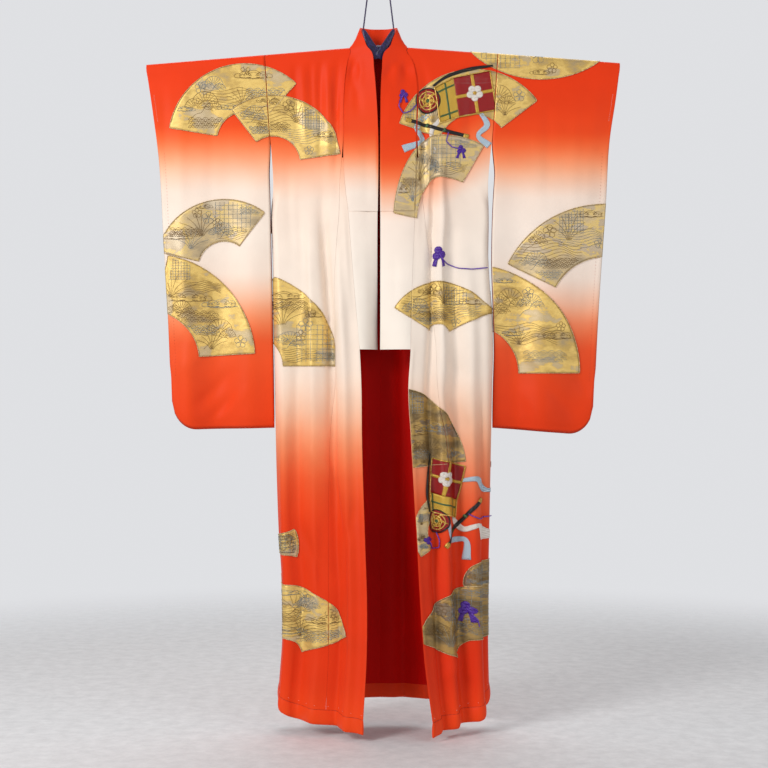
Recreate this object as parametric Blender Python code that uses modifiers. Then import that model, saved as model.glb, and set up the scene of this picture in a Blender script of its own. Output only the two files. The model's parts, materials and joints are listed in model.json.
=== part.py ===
# A long-sleeved silk kimono with a padded hem, hung open on a bar hanger.
# Metres, +Z up, the front faces -Y. The origin is where a hook carries the hanger's ring.
# Left and right are the wearer's, so the left front lies at +X.

import math
from collections import namedtuple

import bmesh
import bpy
import numpy as np
from mathutils import Vector

# Cloth walls and the gap left at each seam
CLOTH = 0.0016
LINING = 0.0012
SEAM_GAP = 0.0003
FOLDED_GAP = 0.0012
HEM_GAP = 0.0008
ARMHOLE_GAP = 0.0012

# Heights: a drop is a distance below the collar's top edge
COLLAR_TOP = -0.160
SHOULDER_DROP = 0.054
SHOULDER_MIDDLE = 0.205
SLOPE_FADES_AT = 0.60
HEM_DROP = 1.950
HEM_BAND = 0.043
BACK_RISE = 0.028
SIDE_RISE = 0.038
SIDE_RISE_SHARE = 0.35
HEM_PAD = 0.0062
HEM_TILT_FROM = 1.20
ROW_START = 0.06

# The hanger: a bent wooden bar, a cloth yoke, two cords and a ring
BAR_RADIUS = 0.009
BAR_END = 0.645
BAR_BEND = 0.030
BAR_STEPS = 16
LOOP_RADIUS = BAR_RADIUS + 0.0012 + CLOTH / 2
NECK_CENTRE = -0.0045
CORD_DIAMETER = 0.0045
CORD_FOOT_OUT = 0.0428
CORD_FOOT_DROP = 0.0066
CORD_HEAD_OUT = 0.0310
CORD_DEPTH = -0.0175
RING_WIRE = 0.0050
RING_HEIGHT = 0.050
RING_OUT = 0.040
KNOT_RADIUS = 0.0055
YOKE_THICKNESS = 0.008
YOKE_FRONT = -0.0215
YOKE_EDGE = 0.0012
WRAP_RADIUS = 0.0155
WRAP_LENGTH = 0.026
WRAP_CLEARANCE = 0.0011
RING_BEND = 0.008

# Openings and widths of the cut
ARMHOLE_END = 0.310
SLIT_END = 0.430
SLIT_CLOSED = 0.520
GAPE_FADES_AT = 0.60
GAPE_END = 0.85
OKUMI_TIP = 0.380
COLLAR_END = 0.920
OVER_COLLAR_END = 0.530
CUFF_SHARE = 0.22
SLEEVE_CORNER = 0.080
SLEEVE_CLEARANCE = 0.0030
SLEEVE_GAPE = 0.0080
CUFF_NARROWS = 0.6
SEAM_PULL_FROM = 0.80

# How the cloth curves: the bow of the front and back in plan, the stretch of each edge that
# takes no fold, where the cloth stands off behind the neck, and how the collar rolls
FRONT_BOW = 1.6
BACK_BOW = 1.5
SIDE_HOLD = 0.08
INNER_HOLD = 0.06
STAND_OFF_FROM = 0.020
STAND_OFF_TO = 0.075
COLLAR_ROLL = 0.4
COLLAR_LIFT = 0.020
COLLAR_LIFT_FROM = 0.10
COLLAR_LIFT_END = 0.22
OVER_COLLAR_INSET = 0.12
HEM_BACK_SHARE = 0.96
HEM_CORNER_FROM = 0.85
HEM_CORNER_SLIMS = 0.45
HEM_SEAM_THICKNESS = 0.55

# One side of the body in plan, from the shoulder to the hem: how far out its side seam
# lies, how it rounds there, and where the front's inner edge lies
SideRow = namedtuple("SideRow", "drop side corner front_corner back_corner edge forward")
LEFT_ROWS = [
    SideRow(0.06, 0.3350, 0.0005, 0.0110, 0.0110, 0.0750, 0.0110),
    SideRow(0.13, 0.3310, 0.0010, 0.0112, 0.0112, 0.1010, 0.0150),
    SideRow(0.30, 0.3225, 0.0030, 0.0125, 0.0125, 0.1050, 0.0300),
    SideRow(0.43, 0.3140, 0.0080, 0.0160, 0.0150, 0.1030, 0.0400),
    SideRow(0.52, 0.3090, 0.0160, 0.0220, 0.0180, 0.0990, 0.0460),
    SideRow(0.66, 0.3070, 0.0200, 0.0280, 0.0200, 0.0930, 0.0560),
    SideRow(0.80, 0.3170, 0.0240, 0.0340, 0.0210, 0.0880, 0.0680),
    SideRow(0.92, 0.3210, 0.0280, 0.0400, 0.0220, 0.0855, 0.0800),
    SideRow(1.03, 0.3180, 0.0300, 0.0450, 0.0230, 0.0790, 0.0900),
    SideRow(1.20, 0.3150, 0.0320, 0.0500, 0.0240, 0.0880, 0.1050),
    SideRow(1.45, 0.3100, 0.0340, 0.0600, 0.0260, 0.1020, 0.1350),
    SideRow(1.70, 0.3060, 0.0350, 0.0700, 0.0280, 0.1180, 0.1600),
    SideRow(1.87, 0.3080, 0.0350, 0.0760, 0.0300, 0.1370, 0.1800),
    SideRow(1.98, 0.3120, 0.0350, 0.0800, 0.0300, 0.1600, 0.1910),
]
RIGHT_ROWS = [
    SideRow(0.06, 0.3290, 0.0005, 0.0110, 0.0110, 0.0810, 0.0110),
    SideRow(0.13, 0.3250, 0.0010, 0.0112, 0.0112, 0.0960, 0.0150),
    SideRow(0.30, 0.3165, 0.0030, 0.0125, 0.0125, 0.1040, 0.0300),
    SideRow(0.43, 0.3105, 0.0080, 0.0160, 0.0150, 0.1020, 0.0400),
    SideRow(0.52, 0.3080, 0.0160, 0.0220, 0.0180, 0.0910, 0.0460),
    SideRow(0.66, 0.3055, 0.0200, 0.0280, 0.0200, 0.0800, 0.0560),
    SideRow(0.80, 0.3030, 0.0240, 0.0340, 0.0210, 0.0680, 0.0680),
    SideRow(0.92, 0.3010, 0.0280, 0.0400, 0.0220, 0.0570, 0.0800),
    SideRow(1.03, 0.2990, 0.0300, 0.0450, 0.0230, 0.0520, 0.0900),
    SideRow(1.20, 0.2960, 0.0320, 0.0500, 0.0240, 0.0500, 0.1050),
    SideRow(1.45, 0.2880, 0.0340, 0.0600, 0.0260, 0.0410, 0.1350),
    SideRow(1.70, 0.2760, 0.0350, 0.0700, 0.0280, 0.0350, 0.1600),
    SideRow(1.87, 0.2840, 0.0350, 0.0760, 0.0300, 0.0440, 0.1800),
    SideRow(1.98, 0.2950, 0.0350, 0.0800, 0.0300, 0.0520, 0.1910),
]

# The collar's free edge below the neck
EdgeRow = namedtuple("EdgeRow", "drop out forward")
LEFT_COLLAR = [
    EdgeRow(0.083, 0.0170, 0.0300),
    EdgeRow(0.105, 0.0120, 0.0320),
    EdgeRow(0.168, 0.0030, 0.0350),
    EdgeRow(0.250, 0.0010, 0.0390),
    EdgeRow(0.600, 0.0010, 0.0460),
    EdgeRow(0.920, 0.0005, 0.0560),
]
RIGHT_COLLAR = [
    EdgeRow(0.083, 0.0290, 0.0300),
    EdgeRow(0.105, 0.0240, 0.0320),
    EdgeRow(0.168, 0.0140, 0.0360),
    EdgeRow(0.250, 0.0080, 0.0400),
    EdgeRow(0.600, 0.0080, 0.0430),
    EdgeRow(0.920, 0.0080, 0.0360),
]

# Round the neck, out from its centre: how the body cloth is cut over the bar, by the angle
# from the bar's top towards the front, and where the collar's free edge stands there
NeckRow = namedtuple("NeckRow", "angle cut edge_out edge_back edge_drop")
NECK_ROWS = [
    NeckRow(90, 0.0800, 0.0345, -0.0260, 0.0560),
    NeckRow(60, 0.0820, 0.0370, -0.0230, 0.0480),
    NeckRow(20, 0.0810, 0.0450, -0.0150, 0.0230),
    NeckRow(-20, 0.0740, 0.0505, -0.0030, 0.0045),
    NeckRow(-50, 0.0560, 0.0480, 0.0130, 0.0000),
    NeckRow(-72, 0.0330, 0.0280, 0.0270, 0.0000),
    NeckRow(-90, 0.0000, 0.0000, 0.0310, 0.0000),
]
NECK_LOOP = 0.0185
SEAM_STEP = 0.0011
SEAM_EASE = 0.0005
NECK_SHIFT_FROM = 0.06

# The back's middle line, and how wide the overlap panel is cut
BackRow = namedtuple("BackRow", "drop middle")
BACK_ROWS = [
    BackRow(0.06, 0.0185),
    BackRow(0.30, 0.0230),
    BackRow(0.60, 0.0300),
    BackRow(1.00, 0.0400),
    BackRow(1.50, 0.0500),
    BackRow(1.98, 0.0550),
]
OkumiRow = namedtuple("OkumiRow", "drop width")
OKUMI_ROWS = [
    OkumiRow(0.38, 0.004),
    OkumiRow(0.53, 0.026),
    OkumiRow(0.92, 0.088),
    OkumiRow(1.20, 0.120),
    OkumiRow(1.60, 0.145),
    OkumiRow(1.98, 0.150),
]

# Folds: where along the curve from side to inner edge, how far out, how wide, from and to
Fold = namedtuple("Fold", "share depth width start end")
LEFT_FOLDS = [
    Fold(0.90, -0.007, 0.035, 0.06, 0.60),
    Fold(0.82, 0.010, 0.040, 0.10, 0.70),
    Fold(0.77, -0.017, 0.052, 0.35, 2.60),
    Fold(0.65, 0.015, 0.058, 0.25, 2.60),
    Fold(0.50, -0.015, 0.070, 0.50, 2.60),
    Fold(0.33, 0.013, 0.070, 0.60, 2.60),
    Fold(0.20, -0.014, 0.055, 0.90, 2.60),
]
RIGHT_FOLDS = [
    Fold(0.90, -0.008, 0.035, 0.06, 0.52),
    Fold(0.80, 0.008, 0.040, 0.06, 0.48),
    Fold(0.68, -0.008, 0.035, 0.06, 0.42),
    Fold(0.84, 0.014, 0.050, 0.55, 2.60),
    Fold(0.68, -0.020, 0.060, 0.40, 2.60),
    Fold(0.50, 0.016, 0.070, 0.50, 2.60),
    Fold(0.33, -0.014, 0.060, 0.80, 2.60),
    Fold(0.20, 0.010, 0.050, 1.00, 2.60),
]
LEFT_BACK_FOLDS = [
    Fold(0.16, -0.008, 0.060, 0.30, 2.60),
    Fold(0.36, 0.012, 0.080, 0.15, 2.60),
    Fold(0.58, -0.012, 0.070, 0.20, 2.60),
    Fold(0.80, 0.010, 0.060, 0.25, 2.60),
]
RIGHT_BACK_FOLDS = [
    Fold(0.14, 0.008, 0.060, 0.40, 2.60),
    Fold(0.34, -0.012, 0.070, 0.20, 2.60),
    Fold(0.57, 0.012, 0.080, 0.15, 2.60),
    Fold(0.78, -0.010, 0.060, 0.30, 2.60),
]
FOLD_FADE = 0.30

# Sleeves: the outer edge down the sleeve, how far the two layers stand apart, and their folds
SleeveRow = namedtuple("SleeveRow", "drop outer")
LEFT_SLEEVE = [
    SleeveRow(0.08, 0.6830),
    SleeveRow(0.21, 0.6670),
    SleeveRow(0.31, 0.6520),
    SleeveRow(0.50, 0.6400),
    SleeveRow(0.80, 0.6200),
    SleeveRow(1.17, 0.6020),
]
RIGHT_SLEEVE = [
    SleeveRow(0.08, 0.6680),
    SleeveRow(0.25, 0.6430),
    SleeveRow(0.36, 0.6290),
    SleeveRow(0.61, 0.6140),
    SleeveRow(0.79, 0.6030),
    SleeveRow(1.17, 0.5880),
]
GapRow = namedtuple("GapRow", "drop half")
SLEEVE_GAPS = [
    GapRow(0.06, 0.0110),
    GapRow(0.13, 0.0112),
    GapRow(0.30, 0.0125),
    GapRow(0.50, 0.0140),
    GapRow(0.85, 0.0140),
    GapRow(1.03, 0.0110),
    GapRow(1.17, 0.0040),
]
SleeveFold = namedtuple("SleeveFold", "share depth width lean start")
LEFT_SLEEVE_FOLDS = [
    SleeveFold(0.22, 0.016, 0.16, 0.05, 0.35),
    SleeveFold(0.55, -0.014, 0.18, -0.10, 0.40),
    SleeveFold(0.86, 0.010, 0.12, -0.05, 0.50),
]
RIGHT_SLEEVE_FOLDS = [
    SleeveFold(0.18, -0.014, 0.15, 0.12, 0.35),
    SleeveFold(0.52, 0.015, 0.17, 0.10, 0.40),
    SleeveFold(0.85, -0.012, 0.12, 0.00, 0.55),
]
SLEEVE_BOTTOM_INNER = 1.141
SEAM_HALF_WIDTH = 0.0028
SEAM_TURN = 0.0030

FRONT_DROPS = [
    0.105, 0.150, 0.205, 0.260, 0.320, 0.380, 0.450, 0.530, 0.620, 0.720, 0.820,
    0.920, 1.030, 1.160, 1.300, 1.450, 1.600, 1.750, HEM_DROP - HEM_BAND,
]
BACK_DROPS = [
    0.115, 0.170, 0.240, 0.320, 0.430, 0.530, 0.680, 0.850, 1.030, 1.220, 1.410,
    1.590, 1.750, HEM_DROP - HEM_BAND,
]
BODY_COLUMNS = 15
SIDE_CLUSTER = 0.6
OKUMI_COLUMNS = 6
COLLAR_COLUMNS = 4
CORNER_POINTS = 16
COLLAR_POINTS = 24
HEM_BACK_RINGS = 14
HEM_FRONT_RINGS = 17
HEM_RING_POINTS = 10
CORD_POINTS = 12
ROUND_SIDES = 24
SLEEVE_SHARES = [0.0, 0.12, 0.25, 0.38, 0.52, 0.66, 0.79, 0.88, 0.94, 0.98, 1.0]
SLEEVE_LEVELS = [0.03, 0.09, 0.15, CUFF_SHARE, 0.32, 0.43, 0.54, 0.65, 0.75, 0.84, 0.92, 0.97]
CURVE_POINTS = 160

# The two sides: which way X runs, the shoulder's slope, how far the hem's front corner
# sinks, and how much lower the sleeve's outer bottom corner lies
Side = namedtuple(
    "Side", "sign slope corner_sag sleeve_tilt rows collar folds back_folds sleeve sleeve_folds"
)
LEFT = Side(
    1, 0.074, 0.038, 0.022,
    LEFT_ROWS, LEFT_COLLAR, LEFT_FOLDS, LEFT_BACK_FOLDS, LEFT_SLEEVE, LEFT_SLEEVE_FOLDS,
)
RIGHT = Side(
    -1, 0.084, 0.030, 0.006,
    RIGHT_ROWS, RIGHT_COLLAR, RIGHT_FOLDS, RIGHT_BACK_FOLDS, RIGHT_SLEEVE, RIGHT_SLEEVE_FOLDS,
)


# Small curves and fades

def fade(value, start, end):
    share = min(max((value - start) / (end - start), 0.0), 1.0)
    return share * share * (3 - 2 * share)


def table(rows, column, drop):
    """The named column at a drop, on a smooth curve through the table's rows."""
    drops = np.array([row.drop for row in rows])
    values = np.array([getattr(row, column) for row in rows])
    slopes = np.gradient(values, drops)
    drop = min(max(drop, drops[0]), drops[-1])
    k = min(int(np.searchsorted(drops, drop, side="right")) - 1, len(drops) - 2)
    span = drops[k + 1] - drops[k]
    t = (drop - drops[k]) / span
    return (
        values[k] * (2 * t**3 - 3 * t**2 + 1)
        + slopes[k] * span * (t**3 - 2 * t**2 + t)
        + values[k + 1] * (3 * t**2 - 2 * t**3)
        + slopes[k + 1] * span * (t**3 - t**2)
    )


def normals_of(points, turn):
    steps = np.gradient(points, axis=0)
    steps /= np.linalg.norm(steps, axis=1)[:, None]
    return np.stack([-turn * steps[:, 1], turn * steps[:, 0]], axis=1)


def folded(points, folds, drop, turn):
    """Plan points moved out and in along their normals by the folds at this drop."""
    share = np.linspace(0, 1, len(points))
    out = np.zeros(len(points))
    for fold in folds:
        strength = fade(drop, fold.start, fold.start + FOLD_FADE)
        strength *= 1 - fade(drop, fold.end - FOLD_FADE, fold.end)
        out += strength * fold.depth * np.exp(-(((share - fold.share) / fold.width) ** 2))
    edge_hold = np.clip(share / SIDE_HOLD, 0, 1) * np.clip((1 - share) / INNER_HOLD, 0, 1)
    return points + normals_of(points, turn) * (out * edge_hold)[:, None]


class PlanCurve:
    """A cloth's line in plan, read by length from its side end: out from the middle, and y."""

    def __init__(self, points, turn):
        steps = np.linalg.norm(np.diff(points, axis=0), axis=1)
        self.points = points
        self.lengths = np.concatenate([[0], np.cumsum(steps)])
        self.normals = normals_of(points, turn)

    @property
    def length(self):
        return self.lengths[-1]

    def at(self, length):
        place = [np.interp(length, self.lengths, self.points[:, k]) for k in (0, 1)]
        normal = [np.interp(length, self.lengths, self.normals[:, k]) for k in (0, 1)]
        beyond = length - min(max(length, 0), self.length)
        if beyond:
            step = np.array([normal[1], -normal[0]])
            place = np.array(place) + step * beyond * (1 if length > 0 else -1)
        return place, normal


def side_corner(out, corner, depth, drop):
    """The rounded turn at the side seam: closed below the side slit, and cut away above it."""
    closing = fade(drop, SLIT_END - 0.01, SLIT_CLOSED)
    angles = np.linspace((1 - closing) * math.pi / 2, math.pi / 2, CORNER_POINTS)
    return np.stack([out - corner * (1 - np.cos(angles)), depth * np.sin(angles)], axis=1)


def resampled(points):
    steps = np.linalg.norm(np.diff(points, axis=0), axis=1)
    lengths = np.concatenate([[0], np.cumsum(steps)])
    keep = np.concatenate([[True], steps > 1e-7])
    at = np.linspace(0, lengths[-1], CURVE_POINTS)
    return np.stack([np.interp(at, lengths[keep], points[keep, k]) for k in (0, 1)], axis=1)


def front_curve(side, drop):
    """From the side seam round to the front's inner edge."""
    column = {name: table(side.rows, name, drop) for name in SideRow._fields}
    corner = side_corner(column["side"], column["corner"], -column["front_corner"], drop)
    run = np.linspace(0, 1, CURVE_POINTS)[1:]
    outs = corner[-1, 0] + (column["edge"] - corner[-1, 0]) * run
    depths = corner[-1, 1] - (column["forward"] - column["front_corner"]) * run**FRONT_BOW
    line = resampled(np.concatenate([corner, np.stack([outs, depths], axis=1)]))
    return PlanCurve(folded(line, side.folds, drop, 1), 1)


def back_curve(side, drop):
    """From the side seam round to the middle of the back."""
    column = {name: table(side.rows, name, drop) for name in SideRow._fields}
    middle = table(BACK_ROWS, "middle", drop)
    corner = side_corner(column["side"], column["corner"], column["back_corner"], drop)
    run = np.linspace(0, 1, CURVE_POINTS)[1:]
    outs = corner[-1, 0] * (1 - run)
    depths = corner[-1, 1] + (middle - column["back_corner"]) * run**BACK_BOW
    line = resampled(np.concatenate([corner, np.stack([outs, depths], axis=1)]))
    return PlanCurve(folded(line, side.back_folds, drop, -1), -1)


def collar_curve(side, drop):
    """From the seam on the front's inner edge to the collar's free edge."""
    front = front_curve(side, drop)
    seam, normal = front.at(front.length)
    seam = np.array(seam)
    free = np.array(
        [table(side.collar, "out", drop), -table(side.collar, "forward", drop)]
    )
    onward = np.array([normal[1], -normal[0]])
    control = seam + onward * COLLAR_ROLL * np.linalg.norm(free - seam)
    t = np.linspace(0, 1, COLLAR_POINTS)[:, None]
    return PlanCurve((1 - t) ** 2 * seam + 2 * t * (1 - t) * control + t**2 * free, 1)


# Places in the row's frame: each gives a point and its outward normal

def bar_axis_drop(out, slope):
    bend = math.sqrt(out * out + BAR_BEND * BAR_BEND) - BAR_BEND
    return SHOULDER_DROP + LOOP_RADIUS + CLOTH / 2 + slope * bend


def sloped(side, drop, out):
    """A row's drop at a place out from the middle: rows start along the sloping bar."""
    tilt = side.slope * (abs(out) - SHOULDER_MIDDLE)
    return drop + tilt * (1 - fade(drop, ROW_START, SLOPE_FADES_AT))


def hemmed(side, drop, share, front):
    """The hem is higher at the back and the side seam, and sinks to the front's corner."""
    at_side = 1 - fade(share, 0, SIDE_RISE_SHARE)
    if front:
        sag = side.corner_sag * share - SIDE_RISE * at_side
    else:
        sag = -BACK_RISE - (SIDE_RISE - BACK_RISE) * at_side
    return drop + sag * fade(drop, HEM_TILT_FROM, HEM_DROP)


def placed(side, out, depth, drop, normal):
    point = Vector((side.sign * out, depth, COLLAR_TOP - drop))
    return point, Vector((side.sign * normal[0], normal[1], normal[2] if len(normal) > 2 else 0))


def on_curve(side, curve, length, drop, front):
    (out, depth), normal = curve.at(length)
    level = hemmed(side, sloped(side, drop, out), length / curve.length, front)
    return placed(side, out, depth, level, normal)


def on_bar(side, out, angle):
    """The cloth over the bar, by the angle from its top towards the front. It stands off
    behind the neck, where the yoke is wrapped round the bar."""
    turn = math.radians(angle)
    behind = (1 - fade(abs(out), STAND_OFF_FROM, STAND_OFF_TO)) * max(0.0, -math.sin(turn))
    depth = -(LOOP_RADIUS + (NECK_LOOP - LOOP_RADIUS) * behind) * math.sin(turn)
    drop = bar_axis_drop(out, side.slope) - LOOP_RADIUS * math.cos(turn)
    tilt = side.slope * math.cos(turn)
    return placed(side, out, depth, drop, (tilt, -math.sin(turn), math.cos(turn)))


def okumi_width(drop):
    return table(OKUMI_ROWS, "width", drop) if drop >= OKUMI_TIP else 0.0


# Solids from grids of points and normals

def material(name, colour, roughness, metallic=0.0):
    made = bpy.data.materials.new(name)
    made.use_nodes = True
    shader = made.node_tree.nodes["Principled BSDF"]
    shader.inputs["Base Color"].default_value = (*colour, 1.0)
    shader.inputs["Roughness"].default_value = roughness
    shader.inputs["Metallic"].default_value = metallic
    return made


def add_object(name, mesh, finish):
    obj = bpy.data.objects.new(name, mesh)
    kimono.objects.link(obj)
    mesh.materials.clear()
    mesh.materials.append(finish)
    return obj


def cloth_wall(name, rows, finish, thickness=CLOTH, lift=0.0):
    """A closed wall: a grid primitive, extruded into two layers, each laid on its side of the rows."""
    columns = len(rows[0])
    bm = bmesh.new()
    bmesh.ops.create_grid(bm, x_segments=columns - 1, y_segments=len(rows) - 1, size=1)
    extruded = bmesh.ops.extrude_face_region(bm, geom=bm.faces[:])["geom"]
    inner = {item for item in extruded if isinstance(item, bmesh.types.BMVert)}
    for vert in bm.verts:
        column = round((vert.co.x + 1) / 2 * (columns - 1))
        row = round((vert.co.y + 1) / 2 * (len(rows) - 1))
        point, normal = rows[row][column]
        vert.co = point + normal * (lift + (-thickness if vert in inner else thickness) / 2)
    return finished(name, bm, finish)


def finished(name, bm, finish):
    bmesh.ops.recalc_face_normals(bm, faces=bm.faces[:])
    mesh = bpy.data.meshes.new(name)
    bm.to_mesh(mesh)
    bm.free()
    if sum(face.normal.dot(face.center) * face.area for face in mesh.polygons) < 0:
        mesh.flip_normals()
    mesh.shade_smooth()
    mesh.set_sharp_from_angle(angle=math.radians(50))
    return add_object(name, mesh, finish)


def lofted(name, rings, finish):
    """A closed solid through rings of points, with both ends filled."""
    bm = bmesh.new()
    loops = [[bm.verts.new(point) for point in ring] for ring in rings]
    for first, second in zip(loops, loops[1:]):
        for k in range(len(first)):
            after = (k + 1) % len(first)
            bm.faces.new((first[k], first[after], second[after], second[k]))
    bm.faces.new(loops[0])
    bm.faces.new(loops[-1])
    return finished(name, bm, finish)


def tube(name, points, radius, finish, sides=2, closed=False):
    """A curve object with a round bevel, on a polyline."""
    curve = bpy.data.curves.new(name, "CURVE")
    curve.dimensions = "3D"
    curve.bevel_depth = radius
    curve.bevel_resolution = sides
    curve.use_fill_caps = not closed
    spline = curve.splines.new("POLY")
    spline.points.add(len(points) - 1)
    for target, point in zip(spline.points, points):
        target.co = (*point, 1)
    spline.use_cyclic_u = closed
    obj = bpy.data.objects.new(name, curve)
    kimono.objects.link(obj)
    curve.materials.append(finish)
    return obj


# The garment's pieces

def body_shares():
    """Columns across the body, closer together at the side seam's turn."""
    even = np.linspace(0, 1, BODY_COLUMNS + 1)
    return even * (1 - SIDE_CLUSTER) + even**2 * SIDE_CLUSTER


def body_rows(side):
    """The body cloth in one length: from the back hem, over the bar, to the front hem."""
    rows = []
    shares = body_shares()
    half = SEAM_GAP / 2
    for drop in reversed(BACK_DROPS):
        curve = back_curve(side, drop)
        lengths = half + (curve.length - 2 * half) * shares
        rows.append([on_curve(side, curve, length, drop, False) for length in lengths])
    armhole = armhole_out(side, bar_axis_drop(side.rows[0].side, side.slope))
    for row in reversed(NECK_ROWS):
        reach = neck_cut(side, row) - armhole
        rows.append([on_bar(side, armhole + reach * share, row.angle) for share in shares])
    for drop in FRONT_DROPS:
        curve = front_curve(side, drop)
        end = curve.length - okumi_width(drop) - FOLDED_GAP / 2
        lengths = half + (end - half) * shares
        rows.append([on_curve(side, curve, length, drop, True) for length in lengths])
    return rows


def neck_cut(side, row):
    """How far out the body cloth is cut at a row of the neck."""
    shift = side.sign * NECK_CENTRE * fade(row.cut, 0, NECK_SHIFT_FROM)
    return max(row.cut + shift, SEAM_GAP / 2)


def okumi_rows(side):
    rows = []
    shares = np.linspace(0, 1, OKUMI_COLUMNS + 1)
    half = SEAM_GAP / 2
    for drop in FRONT_DROPS:
        if drop < OKUMI_TIP:
            continue
        curve = front_curve(side, drop)
        start = curve.length - okumi_width(drop) + FOLDED_GAP / 2
        lengths = start + (curve.length - half - start) * shares
        rows.append([on_curve(side, curve, length, drop, True) for length in lengths])
    return rows


def collar_front_rows(side, lowest):
    """The hanging part of the collar, from its end up to the neck."""
    rows = []
    shares = np.linspace(0, 1, COLLAR_COLUMNS + 1)
    for drop in reversed([d for d in FRONT_DROPS if d <= lowest]):
        curve = collar_curve(side, drop)
        start = FOLDED_GAP / 2 + SEAM_EASE * (1 - fade(drop, COLLAR_LIFT_FROM, 0.30))
        row = []
        for length in start + (curve.length - start) * shares:
            (out, depth), normal = curve.at(length)
            seam_out = curve.points[0, 0]
            lifted = 1 - fade(drop, COLLAR_LIFT_FROM, COLLAR_LIFT_END)
            rise = COLLAR_LIFT * (length / curve.length) * lifted
            level = hemmed(side, sloped(side, drop, seam_out), 1, True) - rise
            row.append(placed(side, out, depth, level, normal))
        rows.append(row)
    return rows


def collar_neck_rows(side):
    """The standing part of the collar, from the front of the bar to the back's middle."""
    rows = []
    shares = np.linspace(0, 1, COLLAR_COLUMNS + 1)
    cuts = [on_bar(side, neck_cut(side, row), row.angle) for row in NECK_ROWS]
    for index, row in enumerate(NECK_ROWS):
        point, normal = cuts[index]
        before, after = cuts[max(index - 1, 0)][0], cuts[min(index + 1, len(cuts) - 1)][0]
        inward = (after - before).cross(normal).normalized() * -side.sign
        seam = point + inward * SEAM_STEP
        edge = Vector((side.sign * row.edge_out + NECK_CENTRE, row.edge_back, COLLAR_TOP - row.edge_drop))
        rows.append([(seam.lerp(edge, share), None) for share in shares])
    return rows


def with_normals(rows):
    """The same grid with each point's normal taken across the grid itself."""
    points = np.array([[tuple(point) for point, _ in row] for row in rows])
    along = np.gradient(points, axis=0)
    across = np.gradient(points, axis=1)
    normals = np.cross(across, along)
    normals /= np.linalg.norm(normals, axis=2)[:, :, None]
    return [
        [(Vector(points[i, k]), Vector(normals[i, k])) for k in range(points.shape[1])]
        for i in range(points.shape[0])
    ]


def collar_rows(lowest):
    """The whole band, from the right front's end round the neck to the left front's end."""
    right = collar_front_rows(RIGHT, lowest) + collar_neck_rows(RIGHT)
    left = collar_front_rows(LEFT, lowest) + collar_neck_rows(LEFT)[:-1]
    return with_normals(right + left[::-1])


def over_collar_rows():
    """The collar's upper part again, clear of its seam."""
    rows = collar_rows(OVER_COLLAR_END)
    for row in rows:
        row[0] = (row[0][0].lerp(row[1][0], OVER_COLLAR_INSET), row[0][1])
    return rows


def sleeve_rings(side):
    """Rings of the sleeve's bag, each round the bar and the pocket at one place across it."""
    rings = []
    for index, share in enumerate(SLEEVE_SHARES + [1.0]):
        turned = index == len(SLEEVE_SHARES)
        back = [sleeve_point(side, share, level, 1, turned) for level in reversed(SLEEVE_LEVELS)]
        front = [sleeve_point(side, share, level, -1, turned) for level in SLEEVE_LEVELS]
        out = sleeve_out(side, share, 0.0)[0] + (SEAM_TURN if turned else 0)
        top = [on_bar(side, out, angle)[0] for angle in (-90, -45, 0, 45, 90)]
        bottom = sleeve_point(side, share, 1.0, 0, turned)
        rings.append([bottom] + back + top + front + [bottom])
    return rings


def sleeve_out(side, share, level):
    """Out from the middle, and the drop, of a place on the sleeve by its shares across and down."""
    top = sleeve_span(side, bar_axis_drop(side.rows[0].side, side.slope))
    width = top[1] - top[0]
    start = bar_axis_drop(top[0] + width * share, side.slope)
    end = SLEEVE_BOTTOM_INNER + side.sleeve_tilt * share
    reach = SLEEVE_CORNER - (1 - share) * width
    if reach > 0:
        end -= SLEEVE_CORNER - math.sqrt(SLEEVE_CORNER**2 - reach**2)
    drop = start + (end - start) * level
    inner, outer = sleeve_span(side, drop)
    return inner + (outer - inner) * share, drop


def armhole_out(side, drop, free=0.0):
    """How far out the body's side edge lies at a drop: its cut edge, or below it its turn."""
    tilt = side.slope * (side.rows[0].side - SHOULDER_MIDDLE)
    row_drop = drop - tilt * (1 - fade(drop - tilt, ROW_START, SLOPE_FADES_AT))
    corner = table(side.rows, "corner", row_drop)
    return table(side.rows, "side", row_drop) - corner * (1 - free)


def sleeve_span(side, drop):
    """The sleeve's inner and outer edge at a drop: sewn to the body, then just clear of it."""
    free = fade(drop, ARMHOLE_END, SLIT_END)
    gape = SLEEVE_GAPE * free * (1 - fade(drop, GAPE_FADES_AT, GAPE_END))
    inner = armhole_out(side, drop, free) + ARMHOLE_GAP + SLEEVE_CLEARANCE * free + gape
    return inner, table(side.sleeve, "outer", drop)


def sleeve_point(side, share, level, layer, turned):
    out, drop = sleeve_out(side, share, level)
    half = table(SLEEVE_GAPS, "half", drop)
    edge = fade(share, SEAM_PULL_FROM, 1.0)
    if level > CUFF_SHARE:
        half = half * (1 - edge) + SEAM_HALF_WIDTH * edge
    else:
        half *= 1 - CUFF_NARROWS * edge * level / CUFF_SHARE
    if turned:
        out += SEAM_TURN
        half = half if level <= CUFF_SHARE else 0.0
    free = fade(drop, ARMHOLE_END - 0.05, ARMHOLE_END + 0.15) if share < 0.3 else 1.0
    middle = 0.0
    for fold in side.sleeve_folds:
        centre = fold.share + fold.lean * (level - 0.5)
        strength = fade(level, fold.start - 0.25, fold.start + 0.35) * free
        middle += fold.depth * strength * math.exp(-(((share - centre) / fold.width) ** 2))
    bottom = 1 if level < 1 else 0
    return placed(side, out, middle + layer * half * bottom, drop, (0, 1))[0]


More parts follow.
